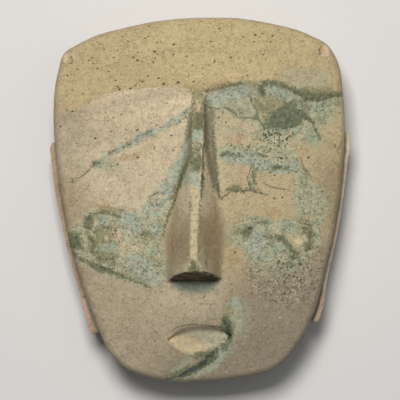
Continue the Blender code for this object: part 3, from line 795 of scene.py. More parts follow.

# %% [markdown]
# Blue-green is the thin-veined stone: one vein leaves the nose and crosses the left cheek under the eye, and
# paler turquoise clouds lie in the green. The olive is a yellower green, along the ridge of the nose and at
# the edges of the dark patches. The grey is mostly painted shade in the troughs on both sides of the nose,
# with a little grey stone below the right brow and on the right cheek.

# %% Blue-green, turquoise, olive and grey
LEFT_VEIN = together(
    stroke((190, 108, 3.0), (183, 113, 2.4), (175, 121, 4.4), (168, 125, 3.0), (158, 129, 2.6),
           (150, 132, 4.8), (142, 135, 3.2), (135, 140, 4.6), (128, 144, 2.8), (120, 148, 3.4),
           (112, 152, 2.4), (104, 157, 3.2)),
    stroke((106, 158, 2.0), (100, 163, 3.0), (96, 167, 2.4)),
)
BLUE_STONE = together(
    LEFT_VEIN,
    patch((152, 198), (162, 194), (168, 196), (166, 208), (158, 216), (148, 218), (143, 210), (147, 203)),
    patch((125, 256), (136, 254), (148, 260), (158, 270), (160, 282), (150, 284), (140, 277), (132, 270),
          (125, 264)),
    patch((118, 214), (132, 212), (142, 218), (144, 228), (134, 234), (122, 230)), blots((155, 228, 7, 7)),
    patch((266, 88), (276, 87), (286, 91), (296, 96), (293, 101), (282, 98), (270, 95)),
    patch((208, 96), (218, 91), (232, 86), (250, 86), (252, 94), (244, 98), (228, 99), (218, 106),
          (209, 104)),
    patch((220, 149), (236, 151), (252, 152), (264, 160), (282, 162), (297, 160), (298, 170), (284, 172),
          (264, 171), (250, 164), (236, 162), (222, 159)),
    patch((250, 230), (262, 229), (269, 234), (268, 243), (262, 252), (266, 260), (256, 259), (248, 252),
          (247, 240)),
    stroke((268, 131, 1.6), (284, 131, 2.0), (300, 129, 2.0)),
    stroke((193, 171, 3.4), (194, 180, 4.4), (195, 188, 4.2)),
    stroke((198, 132, 4.0), (198, 138, 4.0)),
    stroke((190, 138, 1.6), (184, 154, 3.6), (177, 168, 4.6), (169, 182, 5.6), (162, 194, 6.4)),
    stroke((226, 346, 4), (220, 356, 4), (208, 368, 3)),
    # Painted shadow: blue-grey under the nose, where its shadow falls on the upper lip.
    stroke((176, 284, 3), (192, 286, 4), (212, 286, 3)),
)
store("blue", BLUE_STONE)
TURQUOISE = blots(
    (103, 221, 6, 4), (287, 226, 7, 6), (266, 222, 5, 4), (278, 248, 8, 5), (268, 257, 7, 4),
    (298, 106, 4, 4), (318, 106, 8, 5), (186, 178, 4, 8), (108, 247, 10, 5), (314, 136, 7, 5),
    (196, 135, 5, 5), (156, 250, 7, 5), (236, 303, 6, 4), (285, 94, 8, 3), (226, 154, 7, 3),
)
store("teal", TURQUOISE)
OLIVE_STONE = together(
    stroke((198, 94, 5.2), (198, 112, 5.2), (198, 128, 5.0)),
    stroke((197, 146, 5.2), (196, 158, 5.4), (195, 170, 5.0)),
    stroke((193, 257, 4.6), (193, 264, 5.4), (193, 271, 8.5)),
    stroke((190, 152, 1.2), (185, 168, 2.4), (179, 184, 2.2), (174, 200, 1.4), (167, 216, 1.2),
           (162, 236, 1.0)),
    patch((256, 96), (280, 98), (290, 104), (280, 110), (270, 116), (264, 122), (258, 112), (252, 102)),
    stroke((228, 84, 1.6), (240, 82, 2.2), (254, 83, 2.0)),
    patch((86, 230), (98, 228), (112, 232), (118, 244), (112, 256), (98, 258), (88, 248)),
    patch((92, 206), (104, 203), (118, 206), (128, 209), (116, 214), (100, 212)) - 0.6,
    patch((300, 221), (306, 219), (312, 224), (314, 234), (312, 248), (305, 250), (300, 240), (302, 230)),
    blots((236, 187, 6, 4), (134, 223, 7, 4), (146, 236, 7, 4), (104, 236, 5, 4), (236, 230, 5, 5)),
    patch((292, 90), (306, 87), (324, 87), (338, 90), (340, 96), (326, 99), (310, 97), (298, 94)),
    stroke((228, 308, 2), (226, 318, 3)),
)
store("olive", OLIVE_STONE)
# Painted shade: the first two patches darken the troughs right and left of the nose.
GREY_STONE_AND_NOSE_SHADE = together(
    patch((204, 100), (211, 98), (214, 112), (214, 130), (216, 150), (218, 172), (219, 194), (214, 190),
          (208, 172), (204, 150), (204, 124)),
    patch((187, 112), (192, 112), (193, 150), (187, 168), (181, 184), (174, 200), (167, 200), (174, 178),
          (181, 156), (185, 134)),
    patch((292, 99), (304, 100), (311, 110), (304, 112), (294, 108)),
    blots((258, 235, 7, 5)),
)
store("grey", GREY_STONE_AND_NOSE_SHADE)
print("Layers:", [layer.name for layer in stone.data.attributes if layer.name[0] not in ".ps"])

# %% [markdown]
# The cream is fresh stone, laid bare where the surface chipped: along the ridge of the nose, on the lower
# lip, and as flecks beside the veins. The brown is iron in the stone, and it stains the foot of the forehead
# too. The ear lobes are a pinker stone, and so are the worn mouths of the cord holes.

# %% Cream, brown and pink
RIDGE_CREAM = together(
    stroke((195, 188, 3.0), (195, 198, 5.0), (195, 212, 4.8), (193, 232, 4.2), (193, 256, 4.0)),
    stroke((194, 98, 0.6), (199, 106, 1.4), (196, 112, 0.6)),
)
CREAM_STONE = together(
    RIDGE_CREAM,
    stroke((176, 346, 0.8), (186, 349.5, 1.6), (196, 350.5, 1.6), (203, 350, 1.0)),
    stroke((176, 124, 0.8), (166, 131, 1.3), (156, 135, 1.4), (144, 141, 1.2)),
    blots((297, 242, 5, 4), (304, 238, 4, 4), (106, 237, 2, 2), (118, 232, 2, 6), (123, 248, 2, 6)),
    blots((300, 136, 3, 2), (288, 133, 3, 2), (94, 223, 2, 3), (134, 248, 4, 2), (160, 196, 5, 2)),
    stroke((286, 235, 0.8), (291, 239, 1.0), (300, 237, 1.0)),
)
store("cream", CREAM_STONE)
IRON_STAINS = together(
    stroke((114, 160, 1.6), (124, 157, 3.0), (134, 155, 3.0), (144, 150, 2.6), (151, 145, 1.6)),
    stroke((192, 91, 1.0), (206, 90, 1.6), (216, 86, 2.8), (228, 82, 2.2)),
    stroke((182, 86, 0.8), (192, 88, 2.0)),
    stroke((213, 198, 2.6), (214, 222, 4.0), (214, 250, 3.6), (216, 268, 2.4)),
    stroke((176, 206, 2.0), (173, 228, 3.0), (172, 250, 3.0)),
    stroke((281, 83, 1.0), (289, 86, 1.4)),
    blots((274, 213, 9, 5), (118, 88, 4, 3), (234, 256, 8, 8), (100, 204, 10, 4), (304, 150, 5, 6),
          (236, 138, 8, 5)),
    stroke((104, 96, 1.2), (96, 98, 1.6), (86, 102, 1.2)),
)
store("rust", IRON_STAINS)
LOBE_LEFT = patch((76, 297), (92, 298), (102, 322), (101, 335), (88, 335), (78, 320))
LOBE_RIGHT = patch((308, 287), (334, 288), (328, 304), (318, 325), (304, 325), (306, 300))
EAR_FRONT = CHEEK_DEPTH - EAR_SET_BACK
NEAR_EARS = np.abs(spots[:, 0]) > 0.055
BEYOND_WALL, EAR_CORNER_SHADE_FADE, EAR_CORNER_SHADE_DROP = (0.0001, 0.0006), (0.0004, 0.0014), 0.002
border = KDTree(len(outline.normals))
for index, point in enumerate(outline.points):
    border.insert((point[0] + shift.x, point[1] + shift.y, 0), index)
border.balance()
ear_out = np.full(len(spots), -1.0)
for index in np.flatnonzero((spots[:, 2] < EAR_FRONT + 0.001) & NEAR_EARS):
    place, nearest, _ = border.find((spots[index, 0], spots[index, 1], 0))
    ear_out[index] = (spots[index, :2] - place[:2]) @ outline.normals[nearest]
ears = smoothstep(*BEYOND_WALL, ear_out)
store("ear", ears * 4 - 2)
store("lobe", np.where(ears > 0, np.maximum(LOBE_LEFT, LOBE_RIGHT), OUTSIDE))
# Painted shade: a dark line in the corner where the ear leaves the face's wall.
ear_corner_shade = (1 - smoothstep(*EAR_CORNER_SHADE_FADE, ear_out)) * smoothstep(-EAR_CORNER_SHADE_FADE[0], BEYOND_WALL[0], ear_out)
store("ear_corner_shade", ear_corner_shade * smoothstep(EAR_FRONT - EAR_CORNER_SHADE_DROP, EAR_FRONT, spots[:, 2]) * NEAR_EARS)
HOLE_DIMPLES = blots((68.0, 58.0, 6.4, 5.6), (324, 50.5, 5.6, 6.2))
store("dimple", HOLE_DIMPLES)
print("Ear points:", int((ears > 0.5).sum()))

# %% [markdown]
# The dark green is the densest stone. It took a polish where the rest wore dull, so it shows crisp edges: a
# leaf shape over the right eye with a tail, a line along the right brow, and a vein that runs from the corner
# of the mouth over the chin. Its deepest part is nearly black. The same dark tones also paint shade: two dark
# stretches down the right edge of the nose's ridge, lines in the creases beside the nose, and the dark
# insides of the cord holes.

# %% Dark green stone
EYE_LEAF = patch(
    (265, 128), (267, 122), (270, 117), (276, 112), (283, 110), (288, 106), (291, 103), (294, 108),
    (300, 109), (306, 113), (310, 117), (315, 122), (316, 126), (311, 123), (307, 120), (302, 120),
    (299, 124), (294, 127), (286, 129), (275, 128),
)
DARK_GREEN_AND_CREASE_SHADE = together(
    EYE_LEAF,
    stroke((309, 118, 1.6), (313, 124, 1.4), (316, 131, 1.1), (320, 138, 0.8), (322, 142, 0.3)),
    stroke((301, 119, 0.8), (303, 126, 0.4)),
    stroke((268, 82, 0.6), (276, 84, 1.2), (290, 89, 0.8), (298, 93, 1.8), (307, 97, 2.4), (316, 98, 1.8),
           (326, 96, 0.9), (334, 95, 0.3)),
    stroke((195, 124, 0.8), (202, 125, 1.0)),
    # Painted shade: dark lines down the edges of the nose's ridge and in the crease right of it.
    stroke((203.5, 94, 0.4), (203.5, 112, 0.8), (203, 130, 0.6)),
    stroke((203, 144, 0.9), (202.5, 160, 1.2), (201.5, 176, 1.3), (201, 192, 1.0), (200, 206, 0.4)),
    stroke((193, 146, 0.6), (192, 156, 1.0), (191, 164, 1.0)),
    stroke((215, 172, 0.6), (217, 184, 1.3), (218.5, 194, 1.2), (219, 198, 0.4)),
    patch((219, 327), (221, 321), (226, 318), (230, 322), (231, 330), (231, 337), (228, 341), (226, 342),
          (227, 336), (225, 332), (221, 330)),
    patch((203, 358), (206, 352), (212, 350), (218, 349), (218, 356), (214, 361), (207, 365), (200, 370),
          (192, 374), (184, 377), (174, 378), (165, 380), (165, 377), (175, 375), (183, 371), (190, 367),
          (197, 362)),
    blots((216, 348.5, 2, 1.5), (276, 167, 4, 2.2)),
    patch((91, 160), (98, 160.5), (95.5, 163), (92, 166)),
    stroke((70, 237, 0.8), (76, 239, 2.4), (79, 245, 1.8), (83, 250, 0.6)),
    blots((88, 220, 2.4, 4), (93, 264, 4, 1.6), (106, 269, 4, 1.4), (74, 246, 2, 2)),
    stroke((272, 238, 0.5), (281, 238, 1.2), (287, 244, 1.2), (291, 250, 1.0), (296, 253, 0.6)),
)
store("dark_green", DARK_GREEN_AND_CREASE_SHADE)
# A softer dark olive stone with a broken edge. Some of its strokes are painted shade along the nose, marked
# below.
DARK_SHADE = together(
    patch((194, 112), (203, 111), (204, 129), (194, 129)),
    patch((192, 156), (201, 156), (201, 171), (195, 171), (191, 169)),
    stroke((262, 93, 3.0), (260, 86, 3.6), (266, 82, 3.0), (276, 83, 3.2), (288, 87, 2.6), (298, 92, 4.0),
           (307, 96, 4.8), (317, 97, 4.4), (328, 95, 3.6), (340, 94, 2.6)),
    patch((284, 104), (292, 99), (296, 106), (290, 113), (276, 114), (268, 122), (264, 130), (262, 124),
          (272, 112)),
    stroke((204, 92, 1.0), (206, 90, 1.2), (214, 88, 1.0), (226, 85, 1.6), (240, 83, 1.2)),
    patch((67, 232), (74, 231), (80, 233), (81, 243), (84, 250), (78, 250), (70, 248), (67, 240)),
    patch((83, 216), (90, 213), (94, 218), (93, 228), (88, 230), (83, 226)),
    stroke((94, 213, 1.4), (104, 211, 2.2), (112, 214, 2.0), (119, 217, 1.0)),
    stroke((97, 226, 1.0), (106, 227.5, 1.8), (116, 230, 1.0)),
    stroke((88, 236, 1.6), (94, 242, 2.0), (92, 252, 1.6)), blots((147, 232, 4, 2), (74, 254, 4, 3)),
    stroke((80, 258, 1.0), (88, 263, 2.6), (98, 267, 3.8), (107, 270, 2.6), (116, 273, 2.2), (126, 277, 1.8),
           (138, 282, 1.2), (150, 287, 0.6)),
    stroke((98, 258, 1.4), (108, 259, 1.8), (116, 256, 1.0)),
    stroke((110, 258, 0.8), (114, 264, 1.0), (112, 270, 0.8)),
    patch((240, 231), (243, 226), (250, 225), (253, 229), (250, 236), (244, 238)),
    stroke((262, 236, 1.2), (272, 237, 2.0), (281, 237, 3.0), (287, 244, 3.0), (291, 250, 2.6),
           (297, 253, 2.2)),
    blots((308, 246, 4, 4), (309, 234, 3, 7), (294, 257, 6, 3), (276, 167, 7, 3), (304, 229, 4, 3),
          (286, 168, 5, 2)),
    stroke((274, 262, 0.4), (284, 264, 1.6), (294, 266, 1.0), (300, 262, 1.4)), blots((264, 222, 5, 2)),
    stroke((226, 190, 1.2), (232, 187, 1.6), (242, 190, 1.4), (252, 188, 1.2), (262, 193, 1.0)),
    stroke((256, 168, 1.0), (252, 176, 1.4), (256, 184, 1.0)),
    stroke((236, 156, 1.6), (226, 152, 2.4), (220, 156, 1.6)),
    # Painted shade: lines along the edges of the nose's ridge and down the creases and troughs beside it.
    stroke((193, 94, 0.6), (192.5, 112, 0.8), (193, 130, 0.6)),
    stroke((205, 96, 0.9), (205, 130, 1.0), (204, 150, 0.8)),
    stroke((212, 130, 1.0), (213, 148, 1.6), (215, 168, 1.6), (217, 182, 1.6)),
    stroke((187, 160, 0.8), (182, 174, 1.4), (177, 190, 1.6), (172, 206, 1.4), (166, 220, 1.0),
           (162, 236, 0.6)),
    stroke((191, 111, 0.2), (184, 117, 0.4), (176, 124, 0.3)), stroke((152, 130, 0.2), (146, 132, 1.6)),
    stroke((138, 137, 0.9), (132, 142, 1.0), (122, 147, 0.3)), stroke((114, 150, 1.0), (108, 153, 0.8)),
    stroke((102, 158, 0.6), (98, 162, 1.4)),
    patch((190, 355), (197, 351), (208, 350), (212, 352), (203, 357), (194, 359)),
    stroke((166, 376, 1.4), (176, 372, 2.0), (190, 366, 1.6)),
    stroke((224, 318, 3.2), (230, 326, 3.6), (230, 338, 3.0), (224, 348, 3.0)),
    blots((223, 345, 3, 3)),
    stroke((205, 246, 0.4), (206, 256, 0.6), (206, 268, 0.6)),
    stroke((192, 261, 1.6), (193, 266, 3.0), (193, 270, 5.0)),
    # Painted shade: dark lines along both edges of the lower ridge of the nose.
    stroke((199.6, 200, 0.6), (199, 220, 0.8), (197.6, 240, 0.8), (198, 258, 1.0)),
    stroke((190.4, 196, 0.4), (189.4, 216, 0.5), (189, 240, 0.5), (188.6, 258, 0.8)),
)
store("shade", DARK_SHADE)
DEEPEST_GREEN_AND_HOLE_SHADE = together(
    stroke((206, 357, 1.6), (210, 355, 2.6), (212, 353, 1.8)),
    stroke((180, 375, 1.0), (188, 371, 1.8), (198, 366, 2.2), (205, 361, 2.0)),
    stroke((223, 320, 1.4), (227, 326, 2.4), (229, 334, 1.8), (228, 340, 0.8)),
    stroke((75, 236, 0.6), (78, 244, 0.8)),
    # Painted shade: the last three blots are the dark crease right of the nose's ridge and the dark insides
    # of the two cord holes.
    blots((249, 228, 2, 1.6), (101, 267, 2.4, 1.4), (203, 176, 0.9, 9), (70.5, 61.5, 2.8, 1.8),
          (320.4, 50.5, 1.6, 3.4)),
)
store("deep", DEEPEST_GREEN_AND_HOLE_SHADE)
# The underside of the nose is painted dark: partly dark stone, partly painted shade under the overhang.
NOSE_UNDERSIDE_STONE_AND_SHADE = patch(
    (169, 279), (173, 275), (184, 271.5), (194, 270.5), (206, 271), (213, 274), (221.5, 278), (216, 281),
    (204, 281.5), (188, 281), (172, 281.5),
)
store("underside", NOSE_UNDERSIDE_STONE_AND_SHADE)
LOWER_LIP = patch(
    (164, 337), (172, 333), (184, 336), (196, 338), (206, 341), (209, 347), (204, 352), (192, 354),
    (180, 350), (170, 344),
)
store("lip", LOWER_LIP)
# The first patch is pale stone, painted lighter in the upper half of the mouth hollow: painted light over the
# shade that falls there. The second is pale greenish stone.
PALE_LIP_AND_PAINTED_LIGHT = together(
    patch((176, 332), (188, 328), (204, 328), (216, 330), (206, 338), (190, 336)) - 0.8,
    patch((204, 334), (214, 331), (226, 333), (226, 338), (218, 344), (208, 348), (203, 342)),
)
store("pale_lip_and_painted_light", PALE_LIP_AND_PAINTED_LIGHT)
print("Points in the dark green:", int((DARK_GREEN_AND_CREASE_SHADE > 0).sum()))

# %% [markdown]
# Where a soft band is rotten it is full of light and dark specks, and its shrinkage cracks make a net. The
# forehead is full of small pores, most of them left of the middle, and the ridge of the nose is chipped.
# These layers hold how strongly, from 0 to 1.

# %% Where the stone is speckled, netted, pored and chipped
PAINT_FADE = 1.6
LOW_SPECKS = patch((250, 258), (270, 262), (300, 258), (322, 236), (324, 262), (318, 284), (308, 300),
                   (286, 308), (262, 300), (246, 280))
CHEEKS_AND_BAND = together(RIGHT_CHEEK, RIGHT_BAND)
SPECKLED_PLACES = (
    (EYE_SPECKS, 0.85), (EYE_SPECKS - 1.2, 1.05), (LOW_SPECKS, 0.42), (CHEEKS_AND_BAND, 0.26),
    (blots((284, 264, 14, 8), (296, 276, 10, 8), (274, 284, 8, 6)), 0.75),
    (blots((306, 226, 9, 8), (250, 152, 30, 8), (316, 104, 16, 8), (272, 164, 18, 6)), 0.62),
    (blots((198, 102, 6, 9), (198, 148, 6, 9), (194, 262, 7, 9), (220, 340, 10, 8)), 0.7),
    (patch((226, 188), (246, 185), (256, 170), (254, 188), (246, 194), (228, 192)), 0.7),
    (patch((292, 176), (318, 186), (326, 216), (300, 220)), 0.45),
    (together(LEFT_CHEEK, LEFT_VEIN), 0.24), (RIGHT_BROW, 0.22),
)
NETTED_PLACES = (
    (LEFT_CHEEK, 1.0), (together(RIGHT_CHEEK, LOW_SPECKS), 0.9), (RIGHT_BAND, 0.6), (RIGHT_BROW, 0.45),
    (together(LEFT_VEIN, LEFT_FLANK), 0.5),
)


def strongest(places):
    """The strongest of the places at each point, each fading out over its border."""
    return together(*(strength * smoothstep(-PAINT_FADE, PAINT_FADE, depth) for depth, strength in places))


store("speckled", strongest(SPECKLED_PLACES) * IN_FRONT)
store("netted", strongest(NETTED_PLACES) * IN_FRONT)
BROW_EDGE = [
    (50, 112), (62, 112), (72, 110), (80, 107), (88, 103), (96, 98), (104, 94), (112, 91.5), (122, 90),
    (134, 89), (148, 87.5), (162, 87), (172, 86), (180, 85), (186, 88), (192, 92), (204, 92), (212, 89),
    (222, 86), (230, 82.5), (244, 81), (262, 81), (278, 82), (292, 87), (310, 92), (330, 93), (350, 93),
]
brow_x, brow_y = zip(*BROW_EDGE)
above_brow = (np.interp(SEEN_X, brow_x, brow_y) - SEEN_Y) * MILLIMETRES
store("above_brow", above_brow)
FOREHEAD_PORES, FACE_PORES = (0.35, 0.65), (0.14, 0.16)
PORES_FROM, PORES_FULL = 270, 170
forehead = smoothstep(-0.5, 1.0, above_brow)
leftward = smoothstep(PORES_FROM, PORES_FULL, SEEN_X)
pored = forehead * (FOREHEAD_PORES[0] + FOREHEAD_PORES[1] * leftward)
pored = pored + (1 - forehead) * (FACE_PORES[0] + FACE_PORES[1] * leftward)
store("pored", pored * IN_FRONT)
RIDGE_CHIPS = 0.8
store("chipped", smoothstep(-1.0, 0.6, RIDGE_CREAM) * RIDGE_CHIPS * IN_FRONT)
store("in_front", IN_FRONT)
print("Points above the brow:", int((above_brow > 0).sum()))

# %% [markdown]
# A crack is thinner than the mesh's squares, so storing its darkness at the points would smear it. What is
# stored is the signed distance to its line, which stays straight between two points, and a window that ends
# it. The material takes the distance where it is near zero. The larger pores are stored in the same way, as
# an offset to their middle.

# %% Fine cracks and single pores
CRACKS = [
    [(226, 108), (231, 111), (235, 113), (238, 118), (246, 117), (253, 118), (258, 120)],
    [(250, 98), (252, 104), (256, 109), (257.5, 117), (260, 122), (264, 128)],
    [(204, 104), (211, 107), (218, 108)],
    [(96, 164), (90, 168), (85, 173), (80, 176.5), (72, 178)],
    [(72, 181.5), (66, 182), (61, 184.5)],
    [(250, 150), (256, 152), (262, 155), (272, 157), (286, 157.5)],
    [(222, 198), (230, 191), (238, 191), (248, 190), (256, 192), (266, 194)],
    [(264, 183), (272, 187), (280, 188), (288, 190)],
    [(250, 168), (247, 178), (250, 187)],
    [(335, 146), (337, 151), (341, 143)],
    [(172, 330), (176, 327), (183, 325), (192, 324), (202, 325), (211, 326), (219, 327)],
    [(148, 197), (156, 193), (166, 190)],
    [(300, 158), (304, 168), (310, 176)],
]
CRACK_REACH, CRACK_FADE = 3.0, (0.55, 0.9)
crack_side, crack_near = np.full(len(SEEN_X), CRACK_REACH), np.full(len(SEEN_X), 99.0)
for line in CRACKS:
    for first, second in zip(line, line[1:]):
        distance, share, side = to_segment(first, second)
        closer = distance < crack_near
        crack_side = np.where(closer, side, crack_side)
        crack_near = np.where(closer, distance, crack_near)
store("crack_side", np.clip(crack_side, -CRACK_REACH, CRACK_REACH) * MILLIMETRES)
store("crack_window", (1 - smoothstep(*CRACK_FADE, crack_near / CRACK_REACH)) * FACES_UP)

SINGLE_PORES = [
    (173, 44, 1.7), (154, 51, 1.7), (157, 54, 1.1), (133, 57, 1.3), (137, 60, 1.5), (142, 61, 1.1),
    (153, 62, 1.2), (97, 68, 1.4), (115, 80, 1.4), (117, 86, 1.3), (119, 89, 1.8), (130, 88, 1.6),
    (135, 85, 1.2), (142, 81, 1.3), (158, 77.5, 1.5), (148, 75.5, 1.3), (163, 83.5, 1.9), (178, 82, 2.0),
    (193, 81, 1.4), (173, 54, 1.0), (186, 56, 1.0), (192, 65, 1.0), (128, 41, 1.1), (145, 38, 1.1),
    (193, 92, 1.1), (163, 52, 1.0), (219, 28, 1.3), (243, 36.5, 1.3), (255, 34.5, 1.6), (254, 41, 1.0),
    (262, 33, 1.0), (272, 35.5, 1.4), (270, 41, 1.0), (210, 41, 1.1), (213, 46, 1.0), (214, 60.5, 1.1),
    (209, 65, 1.0), (250, 61, 1.0), (263, 54, 1.2), (247, 75, 1.1), (231, 57, 1.0), (104, 49, 1.1),
    (77, 69, 1.2), (88, 60, 1.0), (92, 57, 1.1), (113, 57, 1.2), (108, 71, 1.1), (67, 75, 1.2),
    (117, 50, 1.0), (122, 36, 1.0), (137, 129.5, 1.7), (95, 138, 1.6), (137, 157, 1.7), (117, 164, 1.4),
    (111, 166, 1.1), (173, 150, 1.3), (171, 135, 1.1), (72, 111, 1.4), (60, 126, 1.6), (113, 117, 1.3),
    (105, 112, 1.1), (154, 148, 1.1), (121, 114, 1.0), (111, 131, 1.1), (231, 145, 1.4), (281, 158, 1.5),
    (308, 157, 1.4), (270, 172, 1.4), (274, 175, 1.1), (322, 191, 1.1), (274, 198, 1.6), (282, 197, 1.3),
    (235, 252, 1.3), (279, 261, 1.3), (287, 267, 1.1), (272, 246, 1.1), (300, 264, 1.8), (284, 293, 1.4),
    (294, 276, 1.2), (218, 117, 1.4), (225.5, 122, 1.2), (84, 297, 1.2), (66, 243, 1.4), (319, 299, 2.0),
    (320, 303, 1.4),
]
PORE_FLATNESS, PORE_WINDOW = 1.35, ((1.3, 1.7), (1.5, 2.2))
pore_near, pore_window = np.full(len(SEEN_X), 99.0), np.zeros(len(SEEN_X))
pore_offset = np.full((len(SEEN_X), 3), 9.0)
for x, y, radius in SINGLE_PORES:
    away_x, away_y = SEEN_X - x, (SEEN_Y - y) * PORE_FLATNESS
    distance = np.hypot(away_x, away_y)
    closer = distance < pore_near
    pore_near = np.where(closer, distance, pore_near)
    low, high = (max(radius * share, least) for share, least in zip(*PORE_WINDOW))
    window = 1 - smoothstep(low, high, distance)
    pore_window = np.where(closer, window, pore_window)
    own = np.stack([away_x, away_y, np.full(len(SEEN_X), radius)], 1) * MILLIMETRES
    pore_offset = np.where(closer[:, None], own, pore_offset)
store("pore_offset", pore_offset)
store("pore_window", pore_window * FACES_UP)
print("Cracks:", len(CRACKS), "and single pores:", len(SINGLE_PORES))

# %% [markdown]
# Plain stone isn't one colour either. The forehead is yellower, and the lower face and the chin greyer and
# darker, partly in their stone and partly as painted shade where they slope away from the light. The sides of
# the face and the flanks of the nose are darker too: painted shade where they turn from the light. Each zone
# is a soft round cloud with its own tone, and every point takes the tones around it by their nearness. The
# tones are given as they look on screen, and turned into the linear light that Blender uses.

# %% Tones of the plain stone
STONE_AND_SHADE_TONES = {
    "honey": (193, 174, 130), "dull honey": (187, 169, 129), "cream tan": (216, 198, 165),
    "light tan": (203, 188, 157), "tan": (192, 177, 143), "warm tan": (187, 170, 133),
    "grey tan": (178, 164, 137), "brown": (159, 141, 111), "painted shade brown": (146, 129, 99),
    "grey brown": (151, 139, 118),
}
FOREHEAD_ZONES = [
    (200, 40, 60, "honey"), (90, 75, 35, "dull honey"), (320, 68, 25, "dull honey"),
    (200, 82, 22, "honey"), (120, 85, 22, "dull honey"),
]
# Painted shade: the brown zones darken the sides of the face and the flanks of the nose, and the grey brown
# zones darken part of the lower face and chin.
FACE_ZONES_AND_SHADE = [
    (130, 102, 26, "cream tan"), (70, 128, 20, "grey tan"), (115, 135, 22, "tan"),
    (130, 180, 40, "light tan"), (240, 130, 20, "tan"), (300, 145, 26, "warm tan"),
    (275, 205, 30, "warm tan"), (62, 200, 18, "brown"), (338, 190, 18, "painted shade brown"),
    (235, 262, 18, "warm tan"), (120, 325, 40, "grey tan"), (290, 325, 40, "grey brown"),
    (190, 306, 20, "light tan"), (215, 372, 40, "grey brown"), (178, 240, 12, "brown"),
    (211, 235, 10, "painted shade brown"), (280, 290, 26, "grey brown"), (60, 262, 16, "brown"),
    (194, 332, 14, "grey brown"),
]


def linear(tone):
    """Screen tone from 0 to 255 as linear light."""
    share = np.array(tone) / 255
    return np.where(share <= 0.04045, share / 12.92, ((share + 0.055) / 1.055) ** 2.4)


def store_tones(name, zones):
    weights = [np.exp(-((SEEN_X - x) ** 2 + (SEEN_Y - y) ** 2) / (2 * reach**2)) for x, y, reach, _ in zones]
    weights = np.stack(weights, 1) + 1e-6
    weights /= weights.sum(1)[:, None]
    tones = weights @ np.array([linear(STONE_AND_SHADE_TONES[tone]) for *_, tone in zones])
    layer = stone.data.attributes.new(name, "FLOAT_COLOR", "POINT")
    layer.data.foreach_set("color", np.hstack([tones, np.ones((len(tones), 1))]).astype(np.float32).ravel())


store_tones("forehead_tone", FOREHEAD_ZONES)
store_tones("face_tone_and_shade", FACE_ZONES_AND_SHADE)
print("Zones:", len(FOREHEAD_ZONES) + len(FACE_ZONES_AND_SHADE))

# %% [markdown]
# The weathering follows the surface, so it is a small geometry program and not hand sculpting. A smooth
# unevenness stands for the grinding by hand, a finer one for worn grain, and cells of noise give shallow
# pits where the soft bands lost their surface. The tree reads the painted layers, so the pits fall in the
# green patches.

# %% Weather the surface
def add_node(tree, kind, sockets=(), **settings):
    """Adds a node, and sets or joins its inputs, given as (name or number, value or output) pairs."""
    made = tree.nodes.new(kind)
    for name, value in settings.items():
        setattr(made, name, value)
    for key, value in sockets:
        if isinstance(value, bpy.types.NodeSocket):
            tree.links.new(value, made.inputs[key])
        else:
            made.inputs[key].default_value = value
    return made


def maths(tree, operation, *values):
    made = add_node(tree, "ShaderNodeMath", list(enumerate(values)), operation=operation)
    return made.outputs[0]


def ramp(tree, value, low, high, to_low=0.0, to_high=1.0):
    """A soft step of a value between two others."""
    made = add_node(tree, "ShaderNodeMapRange", (
        ("Value", value), ("From Min", low), ("From Max", high), ("To Min", to_low), ("To Max", to_high),
    ), interpolation_type="SMOOTHSTEP")
    return made.outputs[0]


def noise(tree, vector, size, detail=3.0, roughness=0.55, distortion=0.0):
    """Noise from 0 to 1 with lumps of about this size, in metres."""
    made = add_node(tree, "ShaderNodeTexNoise", (
        ("Vector", vector), ("Scale", 1 / size), ("Detail", detail), ("Roughness", roughness),
        ("Distortion", distortion),
    ))
    return made.outputs[0]


